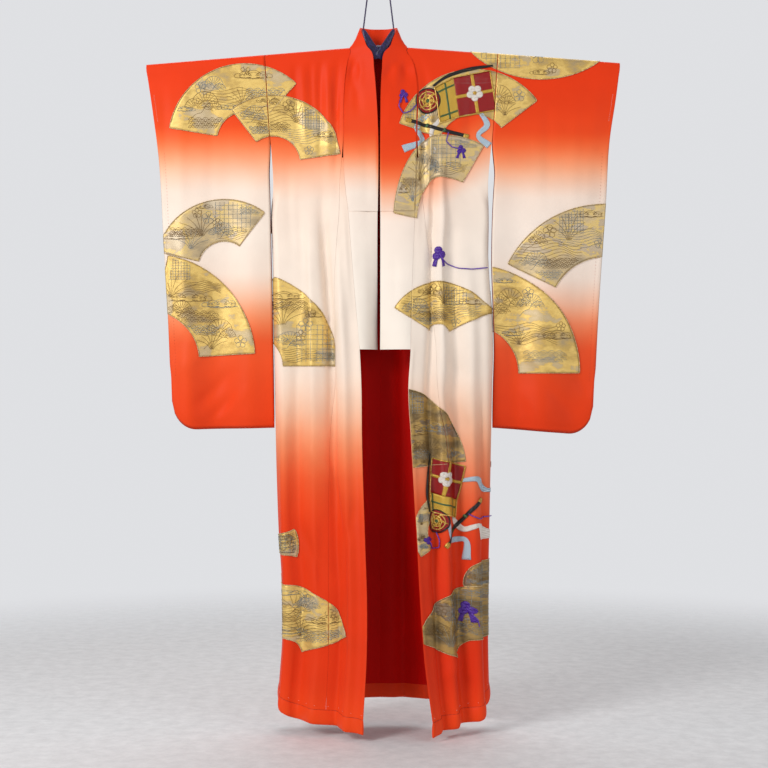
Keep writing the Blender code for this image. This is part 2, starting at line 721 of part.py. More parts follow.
def sleeve(name, side, finish):
    """The bag's middle surface, welded where it meets itself, with its cloth's thickness."""
    rings = sleeve_rings(side)
    bm = bmesh.new()
    bmesh.ops.create_grid(bm, x_segments=len(rings[0]) - 1, y_segments=len(rings) - 1, size=1)
    for vert in bm.verts:
        place = round((vert.co.x + 1) / 2 * (len(rings[0]) - 1))
        ring = round((vert.co.y + 1) / 2 * (len(rings) - 1))
        vert.co = rings[ring][place]
    bmesh.ops.remove_doubles(bm, verts=bm.verts[:], dist=0.00001)
    obj = finished(name, bm, finish)
    wall = obj.modifiers.new("cloth", "SOLIDIFY")
    wall.thickness = CLOTH
    wall.offset = 0
    return obj


def lining_rows(side):
    """The back lining, inside the back from below the neck to the hem band."""
    rows = []
    for drop in reversed(BACK_DROPS):
        curve = back_curve(side, drop)
        lengths = SEAM_GAP / 2 + (curve.length - SEAM_GAP) * body_shares()[1:]
        lengths[-1] -= FOLDED_GAP
        rows.append([on_curve(side, curve, length, drop, False) for length in lengths])
    return rows


def hem_rings(side):
    """The padded hem band, from the middle of the back round the side to the front corner."""
    drop = HEM_DROP - HEM_BAND
    back, front = back_curve(side, drop), front_curve(side, drop)
    stations = [
        (back, (back.length - ARMHOLE_GAP) * (1 - share), False)
        for share in np.linspace(0, HEM_BACK_SHARE, HEM_BACK_RINGS)
    ]
    stations += [
        (front, front.length * share, True) for share in np.linspace(0, 1, HEM_FRONT_RINGS)
    ]
    return [
        hem_ring(on_curve(side, curve, length, drop, is_front), is_front and length / front.length)
        for curve, length, is_front in stations
    ]


def hem_ring(place, front_share):
    """One section of the band: flat at its seam, round and padded below."""
    point, normal = place
    slim = 1 - HEM_CORNER_SLIMS * fade(front_share or 0, HEM_CORNER_FROM, 1.0)
    section = []
    for angle in np.linspace(0, 2 * math.pi, HEM_RING_POINTS, endpoint=False):
        down = 0.5 - 0.5 * math.cos(angle)
        swell = HEM_SEAM_THICKNESS + (1 - HEM_SEAM_THICKNESS) * down
        thick = HEM_PAD * slim * math.sin(angle) * swell
        section.append(point + normal * thick - Vector((0, 0, HEM_GAP + HEM_BAND * down)))
    return section


# The hanger

def hanger_bar(finish):
    points = []
    for out in np.linspace(-BAR_END, BAR_END, BAR_STEPS + 1):
        slope = LEFT.slope if out > 0 else RIGHT.slope
        points.append((out, 0, COLLAR_TOP - bar_axis_drop(out, slope)))
    return tube("hanger_bar", points, BAR_RADIUS, finish, sides=3)


def yoke_outline():
    """Half of the yoke from its notch round to its foot: out from the neck's centre, and drop."""
    return [(0.0, 0.068), (0.014, 0.050), (0.026, 0.034), (0.0405, 0.0075), (0.0452, 0.0085), (0.012, 0.094)]


def hanger_yoke(finish):
    """A padded cloth V on the bar's middle, whose arms hold the collar's corners up."""
    half = yoke_outline()
    outline = [(out, drop) for out, drop in half] + [(-out, drop) for out, drop in reversed(half[1:])]
    curve = bpy.data.curves.new("hanger_yoke", "CURVE")
    curve.dimensions = "2D"
    curve.fill_mode = "BOTH"
    curve.extrude = YOKE_THICKNESS / 2 - YOKE_EDGE
    curve.bevel_depth = YOKE_EDGE
    curve.bevel_resolution = 1
    curve.offset = -YOKE_EDGE
    spline = curve.splines.new("POLY")
    spline.points.add(len(outline) - 1)
    for target, (out, drop) in zip(spline.points, outline):
        target.co = (out, -drop, 0, 1)
    spline.use_cyclic_u = True
    flat = bpy.data.objects.new("yoke_flat", curve)
    kimono.objects.link(flat)
    flat.rotation_euler = (math.pi / 2, 0, 0)
    flat.location = (NECK_CENTRE, YOKE_FRONT + YOKE_THICKNESS / 2, COLLAR_TOP)
    yoke = as_mesh(flat, "hanger_yoke", finish)
    axis_z = COLLAR_TOP - bar_axis_drop(NECK_CENTRE, RIGHT.slope)
    wrap = cylinder("yoke_wrap", WRAP_RADIUS, WRAP_LENGTH, (NECK_CENTRE, 0, axis_z))
    bore_radius = BAR_RADIUS + WRAP_CLEARANCE
    bore = cylinder("bar_bore", bore_radius, 4 * WRAP_LENGTH, (NECK_CENTRE, 0, axis_z))
    combine(yoke, wrap, "UNION")
    combine(yoke, bore, "DIFFERENCE")
    return yoke


def as_mesh(obj, name, finish):
    """A curve made a mesh with its caps welded, so that it can be cut and joined."""
    bpy.context.view_layer.update()
    graph = bpy.context.evaluated_depsgraph_get()
    mesh = bpy.data.meshes.new_from_object(obj.evaluated_get(graph))
    bm = bmesh.new()
    bm.from_mesh(mesh)
    bmesh.ops.remove_doubles(bm, verts=bm.verts[:], dist=0.00002)
    bmesh.ops.recalc_face_normals(bm, faces=bm.faces[:])
    bm.to_mesh(mesh)
    bm.free()
    made = add_object(name, mesh, finish)
    made.matrix_world = obj.matrix_world
    bpy.data.objects.remove(obj)
    return made


def cylinder(name, radius, length, place):
    """A cutter or joiner along X, kept out of the render."""
    mesh = bpy.data.meshes.new(name)
    bm = bmesh.new()
    bmesh.ops.create_cone(
        bm, cap_ends=True, segments=ROUND_SIDES, radius1=radius, radius2=radius, depth=length
    )
    bm.to_mesh(mesh)
    bm.free()
    obj = bpy.data.objects.new(name, mesh)
    cutters.objects.link(obj)
    obj.rotation_euler = (0, math.pi / 2, 0)
    obj.location = place
    obj.hide_render = True
    obj.display_type = "WIRE"
    return obj


def combine(obj, other, operation):
    modifier = obj.modifiers.new(other.name, "BOOLEAN")
    modifier.operation = operation
    modifier.object = other


def cord_ends(sign):
    foot = Vector((NECK_CENTRE + sign * CORD_FOOT_OUT, CORD_DEPTH, COLLAR_TOP - CORD_FOOT_DROP))
    head_z = -RING_HEIGHT - RING_WIRE - 2 * KNOT_RADIUS
    head = Vector((NECK_CENTRE + sign * CORD_HEAD_OUT, 0, head_z - SEAM_GAP))
    return foot, head


def hanger_cord(name, sign, finish):
    foot, head = cord_ends(sign)
    points = [foot.lerp(head, share) for share in np.linspace(0, 1, CORD_POINTS)]
    return tube(name, points, CORD_DIAMETER / 2, finish, sides=3)


def cord_knot(name, sign, finish):
    """A round knot just below the ring's foot, where the cord's end is tied."""
    _, head = cord_ends(sign)
    mesh = bpy.data.meshes.new(name)
    bm = bmesh.new()
    bmesh.ops.create_uvsphere(bm, u_segments=14, v_segments=8, radius=KNOT_RADIUS)
    bm.to_mesh(mesh)
    bm.free()
    mesh.shade_smooth()
    knot = add_object(name, mesh, finish)
    knot.location = (head.x, 0, head.z + SEAM_GAP + KNOT_RADIUS)
    return knot


def hang_ring(finish):
    """A steel triangle: the cords tie to its foot, and a hook carries it at the origin."""
    radius = RING_WIRE / 2
    foot = -RING_HEIGHT - radius
    corner = RING_BEND
    top = radius
    points = []
    centres = [(-RING_OUT, foot + corner, 180, 275), (RING_OUT, foot + corner, 265, 360)]
    for centre_x, centre_z, first, last in centres:
        for angle in np.linspace(math.radians(first), math.radians(last), 6):
            points.append((centre_x + corner * math.cos(angle), 0, centre_z + corner * math.sin(angle)))
    for angle in np.linspace(math.radians(30), math.radians(150), 7):
        points.append((corner * math.cos(angle), 0, top - corner + corner * math.sin(angle)))
    shifted = [(x + NECK_CENTRE * (1 - (z - foot) / (top - foot)), y, z) for x, y, z in points]
    return tube("hang_ring", shifted, radius, finish, sides=2, closed=True)


# Build

for old in list(bpy.data.objects):
    bpy.data.objects.remove(old)
kimono = bpy.data.collections.new("kimono")
cutters = bpy.data.collections.new("cutters")
bpy.context.scene.collection.children.link(kimono)
bpy.context.scene.collection.children.link(cutters)

silk = material("dyed_silk", (0.80, 0.11, 0.03), 0.55)
lining_silk = material("lining_silk", (0.38, 0.01, 0.01), 0.60)
wood = material("bar_wood", (0.10, 0.05, 0.03), 0.45)
navy = material("navy_cloth", (0.02, 0.02, 0.06), 0.70)
steel = material("ring_steel", (0.60, 0.60, 0.60), 0.30, 1.0)

for side_name, part_side in (("left", LEFT), ("right", RIGHT)):
    cloth_wall(f"body_{side_name}", body_rows(part_side), silk)
    cloth_wall(f"okumi_{side_name}", okumi_rows(part_side), silk)
    sleeve(f"sleeve_{side_name}", part_side, silk)
    cloth_wall(
        f"lining_{side_name}", lining_rows(part_side), lining_silk, LINING,
        -(CLOTH + LINING) / 2 - SEAM_GAP,
    )
    lofted(f"hem_{side_name}", hem_rings(part_side), silk)
    hanger_cord(f"cord_{side_name}", part_side.sign, navy)
    cord_knot(f"knot_{side_name}", part_side.sign, navy)
cloth_wall("collar", collar_rows(COLLAR_END), silk)
cloth_wall("over_collar", over_collar_rows(), silk, CLOTH, CLOTH + FOLDED_GAP)
hanger_bar(wood)
hanger_yoke(navy)
hang_ring(steel)
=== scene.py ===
# A long-sleeved silk kimono with a padded hem, hung open on a bar hanger: its looks.
# Metres, +Z up, the front faces -Y. Left and right are the wearer's, so left lies at +X.

import json
import math

import bmesh
import bpy
import numpy as np
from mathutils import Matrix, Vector

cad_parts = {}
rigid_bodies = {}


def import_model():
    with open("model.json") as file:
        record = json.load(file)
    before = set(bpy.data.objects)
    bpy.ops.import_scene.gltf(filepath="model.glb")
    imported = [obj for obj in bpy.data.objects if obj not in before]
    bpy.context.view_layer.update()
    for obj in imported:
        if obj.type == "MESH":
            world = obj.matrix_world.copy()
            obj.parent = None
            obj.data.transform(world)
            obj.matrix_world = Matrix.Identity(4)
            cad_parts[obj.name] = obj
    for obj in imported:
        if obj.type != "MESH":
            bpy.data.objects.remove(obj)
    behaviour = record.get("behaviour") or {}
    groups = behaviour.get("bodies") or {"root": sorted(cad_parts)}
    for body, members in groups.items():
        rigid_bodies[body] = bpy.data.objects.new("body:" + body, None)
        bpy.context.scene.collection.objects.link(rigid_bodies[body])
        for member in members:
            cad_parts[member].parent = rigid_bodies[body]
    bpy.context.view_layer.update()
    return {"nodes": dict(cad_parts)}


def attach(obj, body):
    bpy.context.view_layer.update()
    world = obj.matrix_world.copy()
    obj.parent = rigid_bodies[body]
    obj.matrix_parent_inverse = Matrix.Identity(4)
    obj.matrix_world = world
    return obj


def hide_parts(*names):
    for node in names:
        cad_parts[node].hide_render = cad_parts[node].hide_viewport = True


for old in list(bpy.data.objects):
    bpy.data.objects.remove(old)
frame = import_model()
print("frame loaded")

view = {  # the photograph's camera, level and square to the bar
    "eye": (0.011, -4.5, -1.177),
    "lens": 74,
    "sensor": 36,
}


def makeCamera():
    lens = bpy.data.cameras.new("camera")
    lens.lens = view["lens"]
    lens.sensor_width = view["sensor"]
    lens.clip_end = 80
    camera = bpy.data.objects.new("camera", lens)
    camera.location = view["eye"]
    camera.rotation_euler = (math.pi / 2, 0, 0)
    bpy.context.scene.collection.objects.link(camera)
    bpy.context.scene.camera = camera


makeCamera()


# Small tools for meshes, nodes and colours

def linearColour(code):
    parts = [int(code[k:k + 2], 16) / 255 for k in (1, 3, 5)]
    return (*[p / 12.92 if p <= 0.04045 else ((p + 0.055) / 1.055) ** 2.4 for p in parts], 1.0)


def addNode(tree, kind, settings=None, inputs=None, stops=None):
    node = tree.nodes.new(kind)
    for name, value in (settings or {}).items():
        setattr(node, name, value)
    for name, value in (inputs or {}).items():
        if isinstance(value, bpy.types.NodeSocket):
            tree.links.new(value, node.inputs[name])
        else:
            node.inputs[name].default_value = value
    if stops:  # a colour ramp's places and hex colours
        ramp = node.color_ramp.elements
        while len(ramp) < len(stops):
            ramp.new(0.5)
        for element, (place, code) in zip(ramp, stops):
            element.position = place
            element.color = linearColour(code)
    return node


def newMaterial(name, **shaderInputs):
    made = bpy.data.materials.new(name)
    made.use_nodes = True
    shader = made.node_tree.nodes["Principled BSDF"]
    for socket, value in shaderInputs.items():
        shader.inputs[socket.replace("_", " ")].default_value = value
    return made, made.node_tree, shader


def addBump(tree, shader, height, distance, strength):
    bump = addNode(
        tree, "ShaderNodeBump",
        inputs={"Height": height, "Distance": distance, "Strength": strength},
    )
    tree.links.new(bump.outputs["Normal"], shader.inputs["Normal"])
    return bump


def fleckedFinish(name, flecks, stops, bump=None, stretch=(1, 1, 1), **shaderInputs):
    # dark and light flecks: the noise's scale, detail and roughness; the bump's depth and strength
    made, tree, shader = newMaterial(name, **shaderInputs)
    place = addNode(tree, "ShaderNodeTexCoord").outputs["Object"]
    drawn = addNode(tree, "ShaderNodeMapping", inputs={"Vector": place, "Scale": stretch})
    scale, detail, roughness = flecks
    noise = addNode(
        tree, "ShaderNodeTexNoise",
        inputs={"Vector": drawn.outputs["Vector"], "Scale": scale, "Detail": detail,
                "Roughness": roughness},
    )
    ramp = addNode(
        tree, "ShaderNodeValToRGB", inputs={"Fac": noise.outputs["Fac"]}, stops=stops,
    )
    tree.links.new(ramp.outputs["Color"], shader.inputs["Base Color"])
    if bump:
        addBump(tree, shader, noise.outputs["Fac"], *bump)
    return made


def newPiece(name, points, faces, materials, uv=None, faceSlots=None, sharpAngle=50):
    mesh = bpy.data.meshes.new(name)
    mesh.from_pydata(np.asarray(points, float).tolist(), [], [list(map(int, f)) for f in faces])
    for finish in materials:
        mesh.materials.append(finish)
    if faceSlots is not None:
        mesh.polygons.foreach_set("material_index", np.asarray(faceSlots, np.int32))
    if uv is not None:
        layer = mesh.uv_layers.new(name="cloth")
        corners = np.empty(len(mesh.loops), np.int32)
        mesh.loops.foreach_get("vertex_index", corners)
        layer.data.foreach_set("uv", np.asarray(uv, np.float32)[corners].ravel())
    mesh.update()
    mesh.shade_smooth()
    if sharpAngle:
        mesh.set_sharp_from_angle(angle=math.radians(sharpAngle))
    piece = bpy.data.objects.new(name, mesh)
    bpy.context.scene.collection.objects.link(piece)
    return piece


def standFor(piece, node):
    # the finished piece takes the place of its solid
    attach(piece, "root")
    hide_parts(node)


def gridFaces(rows, columns):
    k = np.arange(rows * columns).reshape(rows, columns)
    return np.stack([k[:-1, :-1], k[:-1, 1:], k[1:, 1:], k[1:, :-1]], axis=-1).reshape(-1, 4)


def tubeFaces(count, sides, closed=False):
    # a tube of so many rings: closed on itself, or capped at both ends
    k = np.arange(count * sides).reshape(count, sides)
    if closed:
        k = np.concatenate([k, k[:1]])
    after = np.roll(k, -1, axis=1)
    faces = np.stack([k[:-1], after[:-1], after[1:], k[1:]], axis=-1).reshape(-1, 4).tolist()
    return faces if closed else faces + [k[0].tolist()[::-1], k[-1].tolist()]


def fade(value, start, end):
    share = np.clip((value - start) / (end - start), 0, 1)
    return share * share * (3 - 2 * share)


def through(stations, values, at):
    # a smooth curve through a table's rows, or through the rows of a grid
    stations, values = np.asarray(stations, float), np.asarray(values, float)
    slopes = np.gradient(values, stations, axis=0)
    at = np.clip(at, stations[0], stations[-1])
    k = np.clip(np.searchsorted(stations, at, side="right") - 1, 0, len(stations) - 2)
    span = stations[k + 1] - stations[k]
    t = (at - stations[k]) / span
    shape = np.shape(t) + (1,) * (values.ndim - 1)
    t, span = np.reshape(t, shape), np.reshape(span, shape)
    return (
        values[k] * (2 * t**3 - 3 * t**2 + 1)
        + slopes[k] * span * (t**3 - 2 * t**2 + t)
        + values[k + 1] * (3 * t**2 - 2 * t**3)
        + slopes[k + 1] * span * (t**3 - t**2)
    )


def swept(path, sides, shape, closed=False):
    # a tube along a path; shape gives how far its sides lie across and deep at a share of it
    path = np.asarray(path, float)
    steps = np.roll(path, -1, 0) - np.roll(path, 1, 0) if closed else np.gradient(path, axis=0)
    steps /= np.linalg.norm(steps, axis=1)[:, None]
    aside = np.array([1.0, 0.2, 0.0])
    rows = []
    for point, step, share in zip(path, steps, np.linspace(0, 1, len(path))):
        if closed:
            aside = point - path.mean(axis=0)
        aside = aside - step * (aside @ step)
        aside /= np.linalg.norm(aside)
        across, deep = shape(share, np.linspace(0, 2 * math.pi, sides, endpoint=False))
        rows.append(point + np.outer(across, aside) + np.outer(deep, np.cross(step, aside)))
    return np.concatenate(rows), tubeFaces(len(path), sides, closed)


def joined(parts):
    # several parts' points and faces as one
    faces, first = [], 0
    for points, own in parts:
        faces += [[k + first for k in polygon] for polygon in own]
        first += len(points)
    return np.concatenate([points for points, _ in parts]), faces


# The hanger: two taut cords with knots, a steel ring, a padded cloth V and the bar in the sleeves

cords = {
    "footOut": 0.0428, "footDrop": 0.0066, "footDepth": -0.0175,
    "headOut": 0.0310, "headHeight": -0.0663,
    "length": 0.1025, "diameter": 0.0045, "turnsPerMetre": 110, "strands": 3,
    "pathPoints": 12, "finePoints": 120, "knotRadius": 0.0055, "knotTube": 0.0019,
    "knotGap": 0.0003,
}
neckCentre, collarTop = -0.0045, -0.160  # as in the CAD source

# twisted rayon cord, dyed dark purple: a low silky gleam on each strand
purpleCord = fleckedFinish(
    "twisted rayon cord", (900, 2, 0.6), [(0.3, "#1B1330"), (0.7, "#3A2A5C")], (0.0003, 0.5),
    Roughness=0.38, Sheen_Weight=0.4, Specular_IOR_Level=0.5,
)


def strandShape(share, angles):
    turn = 2 * math.pi * cords["turnsPerMetre"] * cords["length"] * share / cords["strands"]
    r = cords["diameter"] / 2 * (0.95 + 0.09 * np.cos(cords["strands"] * (angles - turn)))
    return r * np.cos(angles), r * np.sin(angles)


def knotOn(centre):
    t = np.linspace(0, 2 * math.pi, 60, endpoint=False)
    ring = cords["knotRadius"] - cords["knotTube"]
    reach = ring * (0.62 + 0.38 * np.cos(3 * t))
    path = np.stack([reach * np.cos(2 * t), ring * 0.8 * np.sin(3 * t), reach * np.sin(2 * t)], 1)

    def shape(share, angles):
        return cords["knotTube"] * np.cos(angles), cords["knotTube"] * np.sin(angles)
    return swept(path + centre, 10, shape, closed=True)


for name, sign in (("left", 1), ("right", -1)):
    foot = np.array([
        neckCentre + sign * cords["footOut"], cords["footDepth"], collarTop - cords["footDrop"],
    ])
    head = np.array([neckCentre + sign * cords["headOut"], 0, cords["headHeight"]])
    path, fine = [
        [foot + (head - foot) * t for t in np.linspace(0, 1, cords[count])]
        for count in ("pathPoints", "finePoints")
    ]
    points, faces = knotOn(head + (0, 0, cords["knotRadius"] + cords["knotGap"]))
    knot = newPiece(f"cord_knot_{name}", points, faces, [purpleCord])
    standFor(knot, f"knot_{name}")
    points, faces = swept(fine, 12, strandShape)
    cord = newPiece(f"hanging_cord_{name}", points, faces, [purpleCord])
    standFor(cord, f"cord_{name}")


# bent steel wire, finely flecked where it was drawn
frame["nodes"]["hang_ring"].material_slots[0].material = fleckedFinish(
    "drawn steel wire", (700, 3, 0.6), [(0.3, "#9A9C9F"), (0.7, "#C3C5C8")], (0.0001, 0.3),
    Metallic=1.0, Roughness=0.28,
)

yoke = {
    # the middle line of its arms from the foot up: out from the neck's centre, drop, half width
    "arm": [(0.0000, 0.0925, 0.0090), (0.0040, 0.0860, 0.0130), (0.0130, 0.0720, 0.0145),
            (0.0235, 0.0530, 0.0125), (0.0330, 0.0335, 0.0095), (0.0400, 0.0180, 0.0065),
            (0.0435, 0.0090, 0.0030)],
    "middle": -0.0175, "thickness": 0.0038, "wrapRadius": 0.0150, "wrapLength": 0.024,
    "barHeight": -0.22645, "voxel": 0.0011,
}


def yokeFinish():
    # padded satin, navy shot with purple: a bright soft shine where it turns to the light
    made, tree, shader = newMaterial(
        "padded navy satin", Roughness=0.34, Sheen_Weight=0.12, Specular_IOR_Level=0.5,
    )
    place = addNode(tree, "ShaderNodeTexCoord").outputs["Object"]
    quilt = addNode(
        tree, "ShaderNodeTexVoronoi", {"feature": "SMOOTH_F1"},
        {"Vector": place, "Scale": 240.0, "Smoothness": 0.5},
    )
    ramp = addNode(
        tree, "ShaderNodeValToRGB", inputs={"Fac": quilt.outputs["Distance"]},
        stops=[(0.0, "#3C3274"), (0.45, "#1C1644"), (0.9, "#0E0C26")],
    )
    tree.links.new(ramp.outputs["Color"], shader.inputs["Base Color"])
    addBump(tree, shader, quilt.outputs["Distance"], 0.0006, 0.45)
    return made


def yokePiece():
    table = np.array(yoke["arm"])
    at = np.linspace(0, 1, 24)
    line = through(np.linspace(0, 1, len(table)), table, at)
    parts = []
    for sign in (1, -1):
        path = np.stack([
            neckCentre + sign * line[:, 0], np.full(len(line), yoke["middle"]),
            collarTop - line[:, 1],
        ], axis=1)

        def shape(share, angles):
            wide = np.interp(share, at, line[:, 2]) * (0.55 + 0.45 * fade(share, 0, 0.08))
            full = fade(share, 0, 0.1) * (1 - fade(share, 0.8, 1))
            deep = yoke["thickness"] * (0.6 + 0.4 * full)
            return wide * np.cos(angles), deep * np.sin(angles)
        parts.append(swept(path, 20, shape))
    ends = np.linspace(-yoke["wrapLength"] / 2, yoke["wrapLength"] / 2, 9)
    wrap = [(neckCentre + x, 0, yoke["barHeight"]) for x in ends]

    def wrapShape(share, angles):
        r = yoke["wrapRadius"] * (0.80 + 0.20 * math.sin(math.pi * share) ** 0.4)
        return r * np.cos(angles), r * np.sin(angles)
    parts.append(swept(wrap, 28, wrapShape))
    points, faces = joined(parts)
    piece = newPiece("padded_yoke", points, faces, [yokeFinish()], sharpAngle=None)
    solid = piece.modifiers.new("one padded form", "REMESH")
    solid.mode = "VOXEL"
    solid.voxel_size = yoke["voxel"]
    solid.use_smooth_shade = True
    soft = piece.modifiers.new("soft edges", "SMOOTH")
    soft.factor = 0.5
    soft.iterations = 4
    standFor(piece, "hanger_yoke")


yokePiece()

bar = {
    "end": 0.645, "radius": 0.009, "axisDrop": 0.0658, "bend": 0.030,
    "slopes": {1: 0.074, -1: 0.084}, "rounding": 0.010, "crowding": 0.97,
}


def barPiece():
    outs = np.linspace(-1, 1, 121)
    outs = bar["end"] * np.sign(outs) * np.abs(outs) ** bar["crowding"]
    slope = np.where(outs > 0, bar["slopes"][1], bar["slopes"][-1])
    drops = bar["axisDrop"] + slope * (np.sqrt(outs**2 + bar["bend"] ** 2) - bar["bend"])
    path = np.stack([outs, np.zeros_like(outs), collarTop - drops], axis=1)

    def shape(share, angles):
        toEnd = np.clip(min(share, 1 - share) * 2 * bar["end"] / bar["rounding"], 0.02, 1)
        r = bar["radius"] * math.sqrt(1 - (1 - toEnd) ** 2)
        return r * np.cos(angles), r * np.sin(angles)
    points, faces = swept(path, 28, shape)
    # turned wood under brown lacquer: long dark grain under a clear gloss
    lacquered = fleckedFinish(
        "lacquered brown wood", (1, 4, 0.6),
        [(0.3, "#3B2013"), (0.55, "#5E3622"), (0.75, "#704630")], (0.0002, 0.25), (14, 420, 420),
        Roughness=0.34, Coat_Weight=0.4, Coat_Roughness=0.15,
    )
    piece = newPiece("wooden_bar", points, faces, [lacquered])
    standFor(piece, "hanger_bar")


barPiece()
print("hanger made")


# The garment's form: the CAD solids' own sizes, in metres. A drop is below the collar's top.

cut = {
    "cloth": 0.0016, "lining": 0.0012,
    "seamGap": 0.0003, "foldedGap": 0.0005, "hemGap": -0.0022, "armholeGap": 0.0008,
    "shoulderDrop": 0.054, "shoulderMiddle": 0.205,
    "slopeFadesAt": 0.60, "rowStart": 0.06,
    "hemDrop": 1.950, "hemBand": 0.043, "hemPad": 0.0062, "hemTiltFrom": 1.20,
    "backRise": 0.028, "sideRise": 0.038, "sideRiseShare": 0.35,
    "loop": 0.0110, "neckLoop": 0.0185, "barBend": 0.030, "seamStep": 0.0011,
    "armholeEnd": 0.310, "slitEnd": 0.430, "slitClosed": 0.520,
    "gapeFadesAt": 0.60, "gapeEnd": 0.85, "clearance": 0.0030,
    "okumiTip": 0.380, "collarEnd": 0.920, "overCollarEnd": 0.530,
    "cuffShare": 0.22, "sleeveCorner": 0.080, "sleeveBottom": 1.141,
    "seamHalf": 0.0028, "seamTurn": 0.0030,
    "foldFade": 0.30, "sideCluster": 0.6,
}

plan = {  # the body in plan at each drop: its side seam's rounding, and how far forward it stands
    "drop": [.06, .13, .30, .43, .52, .66, .80, .92, 1.03, 1.20, 1.45, 1.70, 1.87, 1.98],
    "corner": [.0005, .0010, .0030, .0080, .0160, .0200, .0240, .0280, .0300, .0320, .0340,
               .0350, .0350, .0350],
    "frontCorner": [.0110, .0112, .0125, .0160, .0220, .0280, .0340, .0400, .0450, .0500,
                    .0600, .0700, .0760, .0800],
    "backCorner": [.0110, .0112, .0125, .0150, .0180, .0200, .0210, .0220, .0230, .0240,
                   .0260, .0280, .0300, .0300],
    "forward": [.0110, .0150, .0300, .0400, .0460, .0560, .0680, .0800, .0900, .1050, .1350,
                .1600, .1800, .1910],
}
backMiddle = {
    "drop": [.06, .30, .60, 1.00, 1.50, 1.98],
    "middle": [.0185, .0230, .0300, .0400, .0500, .0550],
}
okumi = {
    "drop": [.38, .53, .92, 1.20, 1.60, 1.98],
    "width": [.004, .026, .088, .120, .145, .150],
}
neck = {  # round the neck, by the angle from the bar's top towards the front
    "angle": [90, 60, 20, -20, -50, -72, -90],
    "cut": [.0800, .0820, .0810, .0740, .0560, .0330, .0000],
    "edgeOut": [.0345, .0370, .0450, .0505, .0480, .0280, .0000],
    "edgeBack": [-.0260, -.0230, -.0150, -.0030, .0130, .0270, .0310],
    "edgeDrop": [.0560, .0480, .0230, .0045, .0000, .0000, .0000],
}
sleeveGaps = {
    "drop": [.06, .13, .30, .50, .85, 1.03, 1.17],
    "half": [.0110, .0112, .0125, .0140, .0140, .0110, .0040],
}
stations = {
    "front": [.105, .150, .205, .260, .320, .380, .450, .530, .620, .720, .820, .920, 1.030,
              1.160, 1.300, 1.450, 1.600, 1.750, 1.907],
    "back": [.115, .170, .240, .320, .430, .530, .680, .850, 1.030, 1.220, 1.410, 1.590,
             1.750, 1.907],
}
left = {
    "sign": 1, "slope": .074, "cornerSag": .038, "sleeveTilt": .022, "gape": .0080,
    "side": [.3350, .3310, .3225, .3140, .3090, .3070, .3170, .3210, .3180, .3150, .3100,
             .3060, .3080, .3120],
    "edge": [.0750, .1010, .1050, .1030, .0990, .0930, .0880, .0855, .0790, .0880, .1020,
             .1180, .1370, .1600],
    "collar": {
        "drop": [.083, .105, .168, .250, .600, .920],
        "out": [.0170, .0120, .0030, .0010, .0010, .0005],
        "forward": [.0300, .0320, .0350, .0390, .0460, .0560],
    },
    "folds": [  # share across, depth, width, from and to
        (.90, -.007, .035, .06, .60), (.82, .010, .040, .10, .70), (.77, -.017, .052, .35, 2.6),
        (.65, .015, .058, .25, 2.6), (.50, -.015, .070, .50, 2.6), (.33, .013, .070, .60, 2.6),
        (.20, -.014, .055, .90, 2.6),
    ],
    "backFolds": [
        (.16, -.008, .060, .30, 2.6), (.36, .012, .080, .15, 2.6), (.58, -.012, .070, .20, 2.6),
        (.80, .010, .060, .25, 2.6),
    ],
    "sleeve": {
        "drop": [.08, .21, .31, .50, .80, 1.17],
        "outer": [.6830, .6670, .6520, .6400, .6200, .6020],
    },
    "sleeveFolds": [  # share across, depth, width, lean and the level it starts at
        (.22, .016, .16, .05, .35), (.55, -.014, .18, -.10, .40), (.86, .010, .12, -.05, .50),
    ],
}
right = {
    "sign": -1, "slope": .084, "cornerSag": .030, "sleeveTilt": .006, "gape": .0010,
    "side": [.3290, .3250, .3165, .3105, .3080, .3055, .3030, .3010, .2990, .2960, .2880,
             .2760, .2840, .2950],
    "edge": [.0810, .0960, .1040, .1020, .0910, .0800, .0680, .0570, .0520, .0500, .0410,
             .0350, .0440, .0520],
    "collar": {
        "drop": [.083, .105, .168, .250, .600, .920],
        "out": [.0290, .0240, .0140, .0080, .0080, .0080],
        "forward": [.0300, .0320, .0360, .0400, .0430, .0360],
    },
    "folds": [
        (.90, -.008, .035, .06, .52), (.80, .008, .040, .06, .48), (.68, -.008, .035, .06, .42),
        (.84, .014, .050, .55, 2.6), (.68, -.020, .060, .40, 2.6), (.50, .016, .070, .50, 2.6),
        (.33, -.014, .060, .80, 2.6), (.20, .010, .050, 1.00, 2.6),
    ],
    "backFolds": [
        (.14, .008, .060, .40, 2.6), (.34, -.012, .070, .20, 2.6), (.57, .012, .080, .15, 2.6),
        (.78, -.010, .060, .30, 2.6),
    ],
    "sleeve": {
        "drop": [.08, .25, .36, .61, .79, 1.17],
        "outer": [.6680, .6430, .6290, .6140, .6030, .5880],
    },
    "sleeveFolds": [
        (.18, -.014, .15, .12, .35), (.52, .015, .17, .10, .40), (.85, -.012, .12, .00, .55),
    ],
}
sides = {"left": left, "right": right}
fineness = {  # cells of the cloth meshes
    "rowStep": 0.0115, "bodyColumns": 62, "okumiColumns": 26, "collarColumns": 16,
    "sleeveColumns": 44, "sleeveLevels": 96, "planPoints": 160,
}


# Lines in plan, and rows of points on them

def planNormals(points, turn):
    steps = np.gradient(points, axis=0)
    steps /= np.linalg.norm(steps, axis=1)[:, None]
    return np.stack([-turn * steps[:, 1], turn * steps[:, 0]], axis=1)


def lengthsOf(points):
    return np.concatenate([[0], np.cumsum(np.linalg.norm(np.diff(points, axis=0), axis=1))])


def evenly(points, count):
    lengths = lengthsOf(points)
    keep = np.concatenate([[True], np.diff(lengths) > 1e-7])
    at = np.linspace(0, lengths[-1], count)
    return np.stack([np.interp(at, lengths[keep], points[keep, k]) for k in (0, 1)], axis=1)


